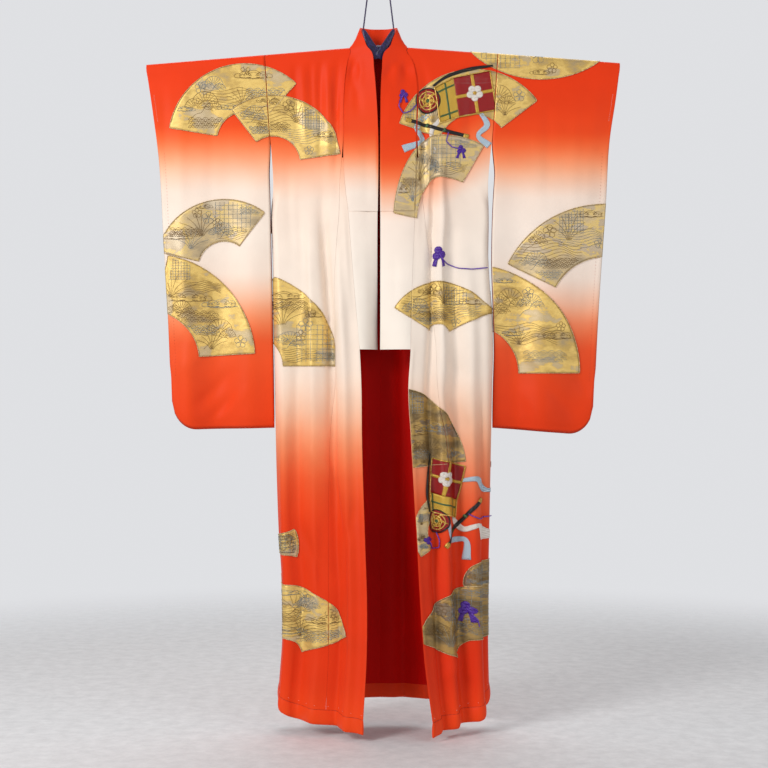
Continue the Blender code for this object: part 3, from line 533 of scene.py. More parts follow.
def folded(points, folds, drop, turn):
    share = np.linspace(0, 1, len(points))
    out = np.zeros(len(points))
    for place, depth, width, start, end in folds:
        strength = fade(drop, start, start + cut["foldFade"])
        strength *= 1 - fade(drop, end - cut["foldFade"], end)
        out += strength * depth * np.exp(-(((share - place) / width) ** 2))
    hold = np.clip(share / 0.08, 0, 1) * np.clip((1 - share) / 0.06, 0, 1)
    return points + planNormals(points, turn) * (out * hold)[:, None]


def panelLine(side, drop, front, calm=False):
    # from the side seam round to the front's inner edge, or to the middle of the back
    out = through(plan["drop"], side["side"], drop)
    corner = through(plan["drop"], plan["corner"], drop)
    deep = through(plan["drop"], plan["frontCorner" if front else "backCorner"], drop)
    way = -1 if front else 1
    closing = fade(drop, cut["slitEnd"] - 0.01, cut["slitClosed"])
    angles = np.linspace((1 - closing) * math.pi / 2, math.pi / 2, 16)
    turned = np.stack([out - corner * (1 - np.cos(angles)), way * deep * np.sin(angles)], axis=1)
    run = np.linspace(0, 1, fineness["planPoints"])[1:]
    if front:
        edge = through(plan["drop"], side["edge"], drop)
        forward = through(plan["drop"], plan["forward"], drop)
        outs = turned[-1, 0] + (edge - turned[-1, 0]) * run
        depths = turned[-1, 1] - (forward - deep) * run**1.6
    else:
        middle = through(backMiddle["drop"], backMiddle["middle"], drop)
        outs = turned[-1, 0] * (1 - run)
        depths = turned[-1, 1] + (middle - deep) * run**1.5
    line = np.concatenate([turned, np.stack([outs, depths], axis=1)])
    line = evenly(line, fineness["planPoints"])
    turn = 1 if front else -1
    if not calm:
        line = folded(line, side["folds" if front else "backFolds"], drop, turn)
    return line, planNormals(line, turn)


def levelOf(side, drop, outs, shares, front):
    # rows start along the sloping bar, and the hem rises at the back and the side seam
    tilt = side["slope"] * (np.abs(outs) - cut["shoulderMiddle"])
    level = drop + tilt * (1 - fade(drop, cut["rowStart"], cut["slopeFadesAt"]))
    atSide = 1 - fade(shares, 0, cut["sideRiseShare"])
    if front:
        sag = side["cornerSag"] * shares - cut["sideRise"] * atSide
    else:
        sag = -cut["backRise"] - (cut["sideRise"] - cut["backRise"]) * atSide
    return level + sag * fade(level, cut["hemTiltFrom"], cut["hemDrop"])


def placed(side, outs, depths, levels, normals):
    points = np.stack([side["sign"] * outs, depths, collarTop - levels], axis=-1)
    turned = np.array(normals, float)
    turned[..., 0] *= side["sign"]
    return points, turned


def rowOn(side, line, normals, lengths, drop, front):
    along = lengthsOf(line)
    outs, depths, across, forward = [
        np.interp(lengths, along, column) for column in (*line.T, *normals.T)
    ]
    levels = levelOf(side, drop, outs, lengths / along[-1], front)
    turned = np.stack([across, forward, np.zeros_like(across)], axis=-1)
    return placed(side, outs, depths, levels, turned)


def barAxisDrop(outs, slope):
    bend = np.sqrt(outs * outs + cut["barBend"] ** 2) - cut["barBend"]
    return cut["shoulderDrop"] + cut["loop"] + cut["cloth"] / 2 + slope * bend


def barRow(side, outs, angle):
    # the cloth over the bar, standing off behind the neck
    turn = math.radians(angle)
    behind = (1 - fade(np.abs(outs), 0.020, 0.075)) * max(0.0, -math.sin(turn))
    depths = -(cut["loop"] + (cut["neckLoop"] - cut["loop"]) * behind) * math.sin(turn)
    drops = barAxisDrop(outs, side["slope"]) - cut["loop"] * math.cos(turn)
    normal = (side["slope"] * math.cos(turn), -math.sin(turn), math.cos(turn))
    return placed(side, outs, depths, drops, np.tile(normal, (len(outs), 1)))


def armholeOut(side, drop, free=0.0):
    tilt = side["slope"] * (side["side"][0] - cut["shoulderMiddle"])
    rowDrop = drop - tilt * (1 - fade(drop - tilt, cut["rowStart"], cut["slopeFadesAt"]))
    corner = through(plan["drop"], plan["corner"], rowDrop)
    return through(plan["drop"], side["side"], rowDrop) - corner * (1 - free)


def neckCut(side, index):
    wide = neck["cut"][index]
    return max(wide + side["sign"] * neckCentre * fade(wide, 0, 0.06), cut["seamGap"] / 2)


def okumiWidth(drop):
    return through(okumi["drop"], okumi["width"], drop) if drop >= cut["okumiTip"] else 0.0


def finer(grids, step, least=2):
    # the same grids with rows about a step apart; also where each given row now lies
    gaps = np.linalg.norm(np.diff(grids[0], axis=0), axis=2).mean(axis=1)
    at = np.concatenate([[0], np.cumsum(gaps)])
    wanted = [np.array([0.0])]
    for start, end in zip(at, at[1:]):
        count = max(least, round((end - start) / step))
        wanted.append(np.linspace(start, end, count + 1)[1:])
    wanted = np.concatenate(wanted)
    where = np.searchsorted(wanted, at - 1e-9)
    return [through(at, grid, wanted) for grid in grids], where


def crossNormals(points, turn):
    normals = np.cross(np.gradient(points, axis=1), np.gradient(points, axis=0)) * turn
    return normals / np.linalg.norm(normals, axis=2)[:, :, None]


# Each cloth is a grid of points with its normals, and the same grid without folds, on which
# creases and motifs are placed

def planeOf(points, front):
    # where the camera sees a point against the plane of the bar: across, and down from the collar
    if not front:
        return np.stack([points[..., 0], collarTop - points[..., 2]], axis=-1)
    eye = view["eye"]
    scale = -eye[1] / (points[..., 1] - eye[1])
    across = eye[0] + (points[..., 0] - eye[0]) * scale
    down = collarTop - (eye[2] + (points[..., 2] - eye[2]) * scale)
    return np.stack([across, down], axis=-1)


def bodyGrid(side, calm):
    even = np.linspace(0, 1, fineness["bodyColumns"] + 1)
    shares = even * (1 - cut["sideCluster"]) + even**2 * cut["sideCluster"]
    half = cut["seamGap"] / 2
    rows = []
    for drop in reversed(stations["back"]):
        line, normals = panelLine(side, drop, False, calm)
        total = lengthsOf(line)[-1]
        rows.append(rowOn(side, line, normals, half + (total - 2 * half) * shares, drop, False))
    armhole = armholeOut(side, barAxisDrop(side["side"][0], side["slope"]))
    for index in reversed(range(len(neck["angle"]))):
        reach = neckCut(side, index) - armhole
        rows.append(barRow(side, armhole + reach * shares, neck["angle"][index]))
    for drop in stations["front"]:
        line, normals = panelLine(side, drop, True, calm)
        end = lengthsOf(line)[-1] - okumiWidth(drop) - cut["foldedGap"] / 2
        rows.append(rowOn(side, line, normals, half + (end - half) * shares, drop, True))
    return np.array([row[0] for row in rows]), np.array([row[1] for row in rows])


def okumiGrid(side, calm):
    shares = np.linspace(0, 1, fineness["okumiColumns"] + 1)
    half = cut["seamGap"] / 2
    rows = []
    for drop in [d for d in stations["front"] if d >= cut["okumiTip"]]:
        line, normals = panelLine(side, drop, True, calm)
        total = lengthsOf(line)[-1]
        start = total - okumiWidth(drop) + cut["foldedGap"] / 2
        lengths = start + (total - half - start) * shares
        rows.append(rowOn(side, line, normals, lengths, drop, True))
    return np.array([row[0] for row in rows]), np.array([row[1] for row in rows])


def collarFrontRows(side, lowest, calm):
    rows = []
    shares = np.linspace(0, 1, fineness["collarColumns"] + 1)
    for drop in reversed([d for d in stations["front"] if d <= lowest]):
        line, normals = panelLine(side, drop, True, calm)
        seam = line[-1]
        free = np.array([
            through(side["collar"]["drop"], side["collar"]["out"], drop),
            -through(side["collar"]["drop"], side["collar"]["forward"], drop),
        ])
        onward = np.array([normals[-1, 1], -normals[-1, 0]])
        control = seam + onward * 0.4 * np.linalg.norm(free - seam)
        t = np.linspace(0, 1, 24)[:, None]
        line = (1 - t) ** 2 * seam + 2 * t * (1 - t) * control + t**2 * free
        along = lengthsOf(line)
        start = cut["foldedGap"] / 2 + 0.0005 * (1 - fade(drop, 0.10, 0.30))
        lengths = start + (along[-1] - start) * shares
        outs, depths = [np.interp(lengths, along, column) for column in line.T]
        rise = 0.020 * (lengths / along[-1]) * (1 - fade(drop, 0.10, 0.22))
        levels = levelOf(side, drop, seam[0], 1.0, True) - rise
        rows.append(placed(side, outs, depths, levels, np.zeros((len(outs), 3)))[0])
    return rows


def collarNeckRows(side):
    rows = []
    shares = np.linspace(0, 1, fineness["collarColumns"] + 1)[:, None]
    cuts = [
        [part[0] for part in barRow(side, np.array([neckCut(side, k)]), neck["angle"][k])]
        for k in range(len(neck["angle"]))
    ]
    for k, (point, normal) in enumerate(cuts):
        before, after = cuts[max(k - 1, 0)][0], cuts[min(k + 1, len(cuts) - 1)][0]
        inward = np.cross(after - before, normal)
        seam = point - side["sign"] * inward / np.linalg.norm(inward) * cut["seamStep"]
        edge = np.array([
            side["sign"] * neck["edgeOut"][k] + neckCentre,
            neck["edgeBack"][k],
            collarTop - neck["edgeDrop"][k],
        ])
        rows.append(seam + (edge - seam) * shares)
    return rows


def collarGrid(lowest, calm):
    rows = collarFrontRows(right, lowest, calm) + collarNeckRows(right)
    back = collarFrontRows(left, lowest, calm) + collarNeckRows(left)[:-1]
    return np.array(rows + back[::-1])


def sleeveSpan(side, drop):
    free = fade(drop, cut["armholeEnd"], cut["slitEnd"])
    gape = side["gape"] * free * (1 - fade(drop, cut["gapeFadesAt"], cut["gapeEnd"]))
    inner = armholeOut(side, drop, free) + cut["armholeGap"] + cut["clearance"] * free + gape
    return inner, through(side["sleeve"]["drop"], side["sleeve"]["outer"], drop)


def sleeveOut(side, shares, level):
    top = sleeveSpan(side, barAxisDrop(side["side"][0], side["slope"]))
    width = top[1] - top[0]
    start = barAxisDrop(top[0] + width * shares, side["slope"])
    reach = np.maximum(cut["sleeveCorner"] - (1 - shares) * width, 0)
    end = cut["sleeveBottom"] + side["sleeveTilt"] * shares
    end = end - cut["sleeveCorner"] + np.sqrt(cut["sleeveCorner"] ** 2 - reach**2)
    drop = start + (end - start) * level
    inner, outer = sleeveSpan(side, drop)
    return inner + (outer - inner) * shares, drop


def sleeveRow(side, shares, turned, level, layer, calm):
    # one row across the sleeve's front (-1) or back (1) layer; the last column is its seam's turn
    outs, drops = sleeveOut(side, shares, level)
    half = through(sleeveGaps["drop"], sleeveGaps["half"], drops)
    edge = fade(shares, 0.80, 1.0)
    sewn = fade(level, cut["cuffShare"], cut["cuffShare"] + 0.05)
    narrow = half * (1 - 0.6 * edge * min(level / cut["cuffShare"], 1))
    half = narrow * (1 - sewn) + (half * (1 - edge) + cut["seamHalf"] * edge) * sewn
    half = half * (1 - sewn * turned) * (1 - fade(level, 0.97, 1.0))
    outs = outs + cut["seamTurn"] * turned * (1 - 0.85 * fade(level, 0.88, 0.93))
    belowArmhole = fade(drops, cut["armholeEnd"] - .05, cut["armholeEnd"] + .15)
    free = np.where(shares < 0.3, belowArmhole, 1)
    middle = np.zeros_like(shares)
    for share, depth, width, lean, start in [] if calm else side["sleeveFolds"]:
        centre = share + lean * (level - 0.5)
        strength = fade(level, start - 0.25, start + 0.35) * free
        middle += depth * strength * np.exp(-(((shares - centre) / width) ** 2))
    return placed(side, outs, middle + layer * half, drops, np.zeros((len(outs), 3)))[0]


def sleeveGrid(side, calm):
    # rows from the bag's bottom up the back layer, over the bar and down the front layer
    even = np.linspace(0, 1, fineness["sleeveColumns"] + 1)
    shares = np.append(even, 1.0)
    turned = np.append(np.zeros_like(even), 1.0)
    levels = np.linspace(0.03, 1.0, fineness["sleeveLevels"])
    rows = [sleeveRow(side, shares, turned, level, 1, calm) for level in levels[::-1]]
    outs = sleeveOut(side, shares, 0.0)[0] + cut["seamTurn"] * turned
    rows += [barRow(side, outs, angle)[0] for angle in range(-90, 91, 15)]
    rows += [sleeveRow(side, shares, turned, level, -1, calm) for level in levels]
    return np.array(rows)


def clothOf(points, normals, calm, where):
    top = int(np.argmax(calm[:, calm.shape[1] // 2, 2]))
    return {"points": points, "normals": normals, "calm": calm, "top": top, "where": where}


def flatPlaces(points):
    # metres across and along the cloth, for its weave
    across = np.linalg.norm(np.diff(points, axis=1), axis=2).mean(axis=0)
    along = np.linalg.norm(np.diff(points, axis=0), axis=2).mean(axis=1)
    u, v = [np.concatenate([[0], np.cumsum(steps)]) for steps in (across, along)]
    return np.stack(np.meshgrid(u, v), axis=-1)


# Creases too fine for the solids, placed in the plane of the bar: across and down where
# each starts, the same where it ends, its width and its depth, minus for a trough

creases = {
    "strength": 0.90, "ripple": 0.0006,
    "front": [
        (.130, .600, .136, .930, .020, .0060), (.192, .570, .198, .940, .022, -.0070),
        (.232, .620, .240, .900, .018, .0040), (.206, 1.120, .214, 1.500, .020, .0050),
        (-.262, .360, -.256, .700, .014, -.0034), (-.100, .500, -.092, .860, .014, .0034),
        (-.410, 1.040, -.500, 1.138, .014, -.0050), (-.540, .860, -.600, .960, .014, -.0028),
        (.400, .900, .500, 1.010, .016, .0046), (.560, .980, .598, 1.060, .014, -.0040),
        (-.150, 1.270, -.112, 1.480, .013, -.0062), (-.246, 1.400, -.160, 1.620, .014, -.0064),
        (-.232, 1.180, -.140, 1.300, .015, .0056), (-.068, 1.330, -.124, 1.620, .014, -.0052),
        (.300, 1.480, .200, 1.640, .015, -.0056), (.180, 1.380, .148, 1.640, .013, -.0050),
        (-.250, 1.640, -.170, 1.800, .016, .0050), (.286, 1.740, .190, 1.860, .015, .0048),
        (-.078, .056, -.086, .160, .009, -.0040), (.062, .056, .074, .150, .009, -.0042),
        (-.058, .070, -.060, .190, .010, .0026), (.044, .070, .046, .180, .010, .0026),
        (.118, .105, .122, .600, .012, -.0050), (.140, .130, .146, .620, .014, -.0060),
        (.131, .630, .128, .880, .013, -.0050), (.160, .360, .166, .900, .018, .0045),
        (.245, 1.700, .262, 1.900, .016, -.0050), (.220, 1.500, .236, 1.880, .020, .0040),
        (.110, .080, .050, .215, .016, -.0035), (.090, .110, .030, .330, .022, .0030),
        (.171, 1.000, .300, 1.190, .018, -.0045), (.150, 1.080, .285, 1.290, .020, .0040),
        (.190, .930, .280, 1.010, .014, -.0030), (.250, 1.250, .240, 1.560, .018, -.0050),
        (.210, .100, .206, .330, .012, -.0028), (.262, .090, .250, .420, .014, -.0026),
        (-.245, .085, -.240, .310, .010, -.0032), (-.222, .080, -.214, .360, .010, .0028),
        (-.200, .075, -.196, .300, .009, -.0036), (-.172, .070, -.176, .330, .010, -.0034),
        (-.150, .070, -.150, .270, .009, .0026), (-.122, .075, -.128, .300, .010, -.0034),
        (-.090, .080, -.105, .240, .014, -.0030), (-.235, .430, -.220, .900, .014, -.0050),
        (-.200, .420, -.176, 1.050, .016, .0050), (-.160, .520, -.148, 1.280, .015, -.0055),
        (-.120, .700, -.118, 1.500, .018, .0045), (-.220, .980, -.196, 1.500, .016, -.0050),
        (-.240, 1.300, -.250, 1.860, .018, .0050), (-.180, 1.350, -.200, 1.880, .014, -.0060),
        (-.140, 1.450, -.150, 1.900, .016, .0045), (-.100, 1.500, -.105, 1.880, .014, -.0040),
        (.628, .180, .664, .196, .007, -.0024), (.618, .232, .660, .246, .007, -.0026),
        (.612, .290, .655, .300, .007, -.0024), (.606, .345, .650, .362, .008, -.0026),
        (.600, .412, .645, .424, .008, -.0022), (.598, .480, .640, .494, .008, -.0022),
        (.480, .160, .476, .560, .016, -.0026), (.560, .150, .548, .640, .020, .0026),
        (.420, .960, .560, 1.120, .020, -.0056), (.380, 1.000, .480, 1.140, .020, .0036),
        (.520, .900, .600, 1.060, .020, -.0030), (.360, .700, .380, 1.020, .016, -.0028),
        (-.480, .150, -.486, .620, .018, -.0026), (-.560, .140, -.572, .560, .016, .0022),
        (-.620, .160, -.606, .420, .012, -.0020), (-.430, .500, -.424, .900, .018, -.0028),
        (-.400, .960, -.540, 1.100, .018, -.0052), (-.360, 1.010, -.470, 1.140, .018, .0032),
        (-.480, .900, -.590, 1.000, .020, .0030), (-.560, .700, -.548, .980, .016, -.0024),
        (-.070, .110, -.060, .260, .012, -.0034), (-.085, .060, -.078, .180, .010, -.0040),
        (.080, .060, .072, .160, .010, -.0036), (-.040, .300, -.036, .620, .012, -.0016),
        (.064, .070, .040, .110, .009, -.0060), (.042, .100, .010, .150, .011, -.0045),
        (-.074, .066, -.062, .150, .009, -.0060), (.030, .170, .020, .300, .014, .0030),
        (.040, .620, .046, .880, .012, -.0016), (-.046, .600, -.040, .880, .012, .0014),
    ],
    "back": [
        (-.240, .090, -.236, .330, .012, -.0032), (-.190, .085, -.196, .380, .012, -.0034),
        (-.130, .080, -.138, .300, .012, .0028), (.240, .090, .232, .350, .012, -.0032),
        (.185, .085, .192, .310, .012, -.0034), (.120, .080, .128, .360, .012, .0028),
        (-.230, .500, -.210, 1.100, .018, -.0050), (-.150, .420, -.160, 1.200, .018, .0045),
        (-.080, .600, -.070, 1.420, .018, -.0050), (.070, .480, .080, 1.250, .018, -.0046),
        (.150, .560, .140, 1.340, .020, .0045), (.230, .620, .216, 1.180, .018, -.0050),
        (-.200, 1.200, -.216, 1.840, .018, -.0055), (-.120, 1.350, -.130, 1.860, .016, .0045),
        (.110, 1.300, .126, 1.860, .018, -.0050), (.200, 1.260, .226, 1.850, .018, .0045),
        (-.480, .160, -.486, .600, .018, -.0026), (.480, .170, .476, .560, .018, -.0026),
        (-.410, .940, -.550, 1.090, .020, -.0036), (.410, .950, .550, 1.110, .022, -.0038),
        (-.360, 1.000, -.470, 1.120, .018, .0032), (.370, 1.000, .480, 1.130, .020, .0034),
        (.612, .230, .655, .242, .008, -.0022), (-.606, .250, -.640, .262, .008, -.0020),
    ],
}


def creased(cloth, hold):
    # moves the points along their normals; hold is 0 where the cloth is held, 1 where it is free
    for front in (True, False):
        rows = slice(cloth["top"], None) if front else slice(0, cloth["top"])
        plane = planeOf(cloth["calm"][rows], front)
        depth = np.zeros(plane.shape[:2])
        for x, y, toX, toY, width, deep in creases["front" if front else "back"]:
            start, run = np.array([x, y]), np.array([toX - x, toY - y])
            share = ((plane - start) @ run) / (run @ run)
            off = plane - (start + np.clip(share, 0, 1)[..., None] * run)
            taper = fade(share, -0.05, 0.35) * (1 - fade(share, 0.65, 1.05))
            deep *= creases["strength"]
            depth += deep * taper * np.exp(-(off**2).sum(axis=-1) / width**2)
        across, down = plane[..., 0], plane[..., 1]
        wave = np.sin(across * 31 + 1.7 * np.sin(down * 6.1 + 0.8))
        wave = wave + 0.7 * np.sin(across * 53 - down * 9.3 + 1.1 * np.sin(down * 11 + across * 7))
        depth += creases["ripple"] * wave * fade(down, 0.10, 0.45)
        shift = (depth * hold[rows])[..., None] * cloth["normals"][rows]
        cloth["points"][rows] += shift
    return cloth


def acrossFrom(points):
    # how far each point lies from its row's first point, along the row
    steps = np.linalg.norm(np.diff(points, axis=1), axis=2)
    return np.concatenate([np.zeros((len(points), 1)), np.cumsum(steps, axis=1)], axis=1)


def heldAtColumns(points, first, last):
    # free away from the first and last column by these lengths; None leaves that edge free
    along = acrossFrom(points)
    hold = np.ones(along.shape)
    if first:
        hold *= fade(along, 0, first)
    if last:
        hold *= fade(along[:, -1:] - along, 0, last)
    return hold


edgeRoll = {"inset": 0.006, "width": 0.0048, "height": 0.0022}  # the overlaps' padded free edge


def layCloths():
    cloths = {}
    step = fineness["rowStep"]
    for name, side in sides.items():
        points, normals = bodyGrid(side, False)
        calm, _ = bodyGrid(side, True)
        (calm, points, normals), where = finer([calm, points, normals], step)
        body = clothOf(points, normals, calm, where)
        sewn = heldAtColumns(points, None, 0.015)
        overlap = fade(calm[:, :1, 2], collarTop - 0.40, collarTop - 0.34)
        hold = heldAtColumns(points, 0.025, None) * (1 - overlap + overlap * sewn)
        hold[where[len(stations["back"]) - 1] - 1:body["top"] + 8] = 0
        cloths[f"body_{name}"] = creased(body, hold)

        points, normals = okumiGrid(side, False)
        calm, _ = okumiGrid(side, True)
        (calm, points, normals), where = finer([calm, points, normals], step)
        panel = clothOf(points, normals, calm, where)
        panel["top"] = 0
        onCollar = fade(calm[:, :1, 2], collarTop - 0.95, collarTop - 0.90)
        hold = 1 - onCollar + onCollar * heldAtColumns(points, None, 0.015)
        panel = creased(panel, hold)
        # the free edge is padded: a low roll, puckered by its stitches
        along = lengthsOf(points[:, -1])[:, None]
        pucker = 1 + 0.30 * np.sin(along * 390 + np.sin(along * 41)) + 0.18 * np.sin(along * 163)
        inset = acrossFrom(points[:, ::-1])[:, ::-1]
        roll = np.exp(-(((inset - edgeRoll["inset"]) / edgeRoll["width"]) ** 2)) * pucker
        panel["points"] += (edgeRoll["height"] * roll * (1 - onCollar))[..., None] * normals
        cloths[f"okumi_{name}"] = panel

        (calm, points), where = finer([sleeveGrid(side, True), sleeveGrid(side, False)], step, 1)
        sleeve = clothOf(points, crossNormals(points, -side["sign"]), calm, where)
        hold = heldAtColumns(points, 0.02, 0.02)
        row = np.arange(len(points))
        hold *= (fade(row, 0, 4) * fade(row[::-1], 0, 4))[:, None]
        cloths[f"sleeve_{name}"] = creased(sleeve, hold)

    over = cut["cloth"] + cut["foldedGap"]
    for name, lowest, lift, inset in (
        ("collar", cut["collarEnd"], 0, 0), ("over_collar", cut["overCollarEnd"], over, 0.5),
    ):
        grids = [collarGrid(lowest, True), collarGrid(lowest, False)]
        (calm, points), where = finer(grids, 0.008)
        for grid in (calm, points):
            grid[:, 0] += (grid[:, 1] - grid[:, 0]) * inset
        normals = crossNormals(points, 1)
        strip = clothOf(points + normals * lift, normals, calm, where)
        fronts = sum(drop <= lowest for drop in stations["front"])
        row = np.arange(len(points))
        hold = heldAtColumns(points, 0.012, None)
        for first, last, way in ((0, where[fronts - 1] + 1, 1), (where[-fronts], len(row), -1)):
            strip["top"] = first
            free = fade(row, 0, 5) * fade(row[::-1], 0, 5)
            free *= fade(where[fronts - 1] - row if way > 0 else row - where[-fronts], 0, 4)
            side = {key: strip[key][first:last] for key in ("points", "normals", "calm")}
            side["top"] = 0
            creased(side, hold[first:last] * free[first:last, None])
        strip["top"] = where[-fronts]
        cloths[name] = strip
    return cloths


cloths = layCloths()
print("cloths laid")


# The dyed silks

dye = {  # the dye's colours down each piece, as (drop, colour); each fades into the next. The bodies' last, brighter stop at the hem is painted light, where the padded hem catches more light
    "body_left": [(0.10, "E6380E"), (0.34, "E83C10"), (0.41, "F8763C"), (0.48, "F8B48C"),
                  (0.55, "F6EADC"), (0.98, "F4E6D8"), (1.10, "F3C6A6"), (1.22, "F09468"),
                  (1.34, "E8572A"), (1.48, "DE3410"), (1.84, "DC300E"), (1.96, "F04818")],
    "body_right": [(0.10, "E8380E"), (0.29, "EA3E10"), (0.36, "FA783C"), (0.42, "F9B890"),
                   (0.50, "F6E6D6"), (0.97, "F4E5D6"), (1.09, "F4C2A0"), (1.18, "F48E5C"),
                   (1.28, "EC5424"), (1.42, "E43A10"), (1.84, "E0360E"), (1.96, "F24C1A")],
    "sleeve_left": [(0.10, "E6380E"), (0.30, "EA3E10"), (0.36, "FA743A"), (0.42, "F9B488"),
                    (0.49, "F6E8DB"), (0.72, "F4E5D7"), (0.79, "F6B894"), (0.845, "F48050"),
                    (0.92, "E8461A"), (1.17, "E0380E")],
    "sleeve_right": [(0.10, "E93A0E"), (0.28, "EC4010"), (0.34, "FC763A"), (0.40, "FBB88C"),
                     (0.47, "F7E8D9"), (0.70, "F5E6D7"), (0.77, "F8BC98"), (0.83, "F88A56"),
                     (0.90, "F04E1E"), (1.17, "E83E12")],
    "collar": [(0.10, "E8380E"), (0.30, "EA3E10"), (0.36, "F8743A"), (0.41, "F8B890"),
               (0.48, "F7ECE0"), (1.00, "F5E9DA")],
    "reach": 2.0,
    "wobble": 0.012,
    "step": {  # along which way the dye falls, from and to, how far, and down to which height
        "collar": ("X", -0.0145, 0.0055, 0.080, -9.0),
        "body_right": ("Y", -0.010, 0.010, 0.050, -9.0),
        "body_left": ("X", 0.130, 0.310, -0.105, -0.950),
    },
}


def tint(tree, shader, place, colour, flecks, part, light):
    # the colour made lighter and darker: a noise's scale, detail and roughness, the part of its
    # range that is used, and the light from and to
    scale, detail, roughness = flecks
    noise = addNode(
        tree, "ShaderNodeTexNoise",
        inputs={"Vector": place, "Scale": scale, "Detail": detail, "Roughness": roughness},
    )
    shade = addNode(
        tree, "ShaderNodeMapRange",
        inputs={"Value": noise.outputs["Fac"], "From Min": part[0], "From Max": part[1],
                "To Min": light[0], "To Max": light[1]},
    )
    tinted = addNode(
        tree, "ShaderNodeMix", {"data_type": "RGBA", "blend_type": "MULTIPLY"},
        {"Factor": 1.0, "A": colour, "B": shade.outputs["Result"]},
    )
    tree.links.new(tinted.outputs["Result"], shader.inputs["Base Color"])


def silkWeave(tree, shader, colour, threadMm, grain):
    # fine twisted threads, so the light breaks up softly; drawn about four times as coarse as
    # real, with ribs nearly twice as far apart, as nothing finer shows from here
    place = addNode(tree, "ShaderNodeTexCoord").outputs["UV"]
    crepe = addNode(
        tree, "ShaderNodeTexNoise",
        inputs={"Vector": place, "Scale": 1000 / threadMm, "Detail": 3.0, "Roughness": 0.6},
    )
    rib = addNode(
        tree, "ShaderNodeTexWave",
        {"wave_type": "BANDS", "bands_direction": "Y", "wave_profile": "SIN"},
        {"Vector": place, "Scale": 1000 / threadMm / 6.0, "Distortion": 1.5, "Detail": 1.0},
    )
    height = addNode(
        tree, "ShaderNodeMath", {"operation": "MULTIPLY_ADD"},
        {0: rib.outputs["Fac"], 1: 0.35, 2: crepe.outputs["Fac"]},
    )
    addBump(tree, shader, height.outputs[0], 0.0004, 0.35)
    tint(tree, shader, place, colour, (9, 2, 0.5), (0.3, 0.7), (1 - grain, 1 + grain))


def dyedSilk(name):
    # silk crepe, dip-dyed: soft folds with a low satin shine and a sheen along their edges
    made, tree, shader = newMaterial(
        f"dyed silk crepe, {name}", Roughness=0.50, Sheen_Weight=0.04, Sheen_Roughness=0.45,
        Specular_IOR_Level=0.12,
    )
    place = addNode(tree, "ShaderNodeTexCoord").outputs["Object"]
    split = addNode(tree, "ShaderNodeSeparateXYZ", inputs={"Vector": place})
    way, start, end, fall, lowest = dye["step"].get(name, ("X", 0.0, 1.0, 0.0, -9.0))
    lower = addNode(
        tree, "ShaderNodeMapRange",
        inputs={"Value": split.outputs[way], "From Min": start, "From Max": end,
                "To Min": 0.0, "To Max": fall},
    )
    upper = addNode(
        tree, "ShaderNodeMapRange",
        inputs={"Value": split.outputs["Z"], "From Min": lowest - 0.1, "From Max": lowest + 0.1},
    )
    height = addNode(
        tree, "ShaderNodeMath", {"operation": "MULTIPLY_ADD"},
        {0: lower.outputs["Result"], 1: upper.outputs["Result"], 2: split.outputs["Z"]},
    ).outputs[0]
    drift = addNode(
        tree, "ShaderNodeTexNoise",
        inputs={"Vector": place, "Scale": 6.0, "Detail": 3.0, "Roughness": 0.55},
    )
    moved = addNode(
        tree, "ShaderNodeMath", {"operation": "MULTIPLY_ADD"},
        {0: drift.outputs["Fac"], 1: dye["wobble"] * 2, 2: height},
    )
    share = addNode(
        tree, "ShaderNodeMapRange",
        inputs={"Value": moved.outputs[0], "From Min": collarTop + dye["wobble"],
                "From Max": collarTop + dye["wobble"] - dye["reach"]},
    )
    ramp = addNode(
        tree, "ShaderNodeValToRGB", inputs={"Fac": share.outputs["Result"]},
        stops=[(drop / dye["reach"], "#" + code) for drop, code in dye[name]],
    )
    ramp.color_ramp.interpolation = "B_SPLINE"
    silkWeave(tree, shader, ramp.outputs["Color"], 1.4, 0.035)
    return made


def liningSilk():
    # plain-woven red silk, thin and smooth; in the garment's shade it hardly shines
    made, tree, shader = newMaterial(
        "plain red lining silk", Roughness=0.50, Specular_IOR_Level=0.06,
    )
    base = addNode(tree, "ShaderNodeRGB")
    base.outputs[0].default_value = linearColour("#C80A04")
    silkWeave(tree, shader, base.outputs[0], 1.0, 0.05)
    return made


silks = {name: dyedSilk(name) for name in dye if name not in ("reach", "wobble", "step")}
redLining = liningSilk()


# The silk and gold laid on the cloth, and the threads

def goldBrocade(name, stops, stretch):
    # brocade of gold-wrapped thread: warm and glinting, with broad mists in greyer gold
    made, tree, shader = newMaterial(
        name, Metallic=0.30, Roughness=0.46, Specular_IOR_Level=0.4,
    )
    place = addNode(tree, "ShaderNodeTexCoord").outputs["UV"]
    low = addNode(tree, "ShaderNodeMapping", inputs={"Vector": place, "Scale": stretch})
    cloudy = addNode(
        tree, "ShaderNodeTexNoise",
        inputs={"Vector": low.outputs["Vector"], "Scale": 1.0, "Detail": 4.0, "Roughness": 0.6},
    )
    clouds = addNode(
        tree, "ShaderNodeValToRGB", inputs={"Fac": cloudy.outputs["Fac"]}, stops=stops,
    )
    tint(tree, shader, place, clouds.outputs["Color"], (900, 2, 0.7), (0.35, 0.7), (0.78, 1.18))
    # gold weft, drawn 2 mm apart so that it shows, about six times its real pitch
    weft = addNode(
        tree, "ShaderNodeTexWave", {"bands_direction": "Y"},
        {"Vector": place, "Scale": 150.0, "Distortion": 2.0, "Detail": 2.0},
    )
    addBump(tree, shader, weft.outputs["Fac"], 0.0003, 0.30)
    return made


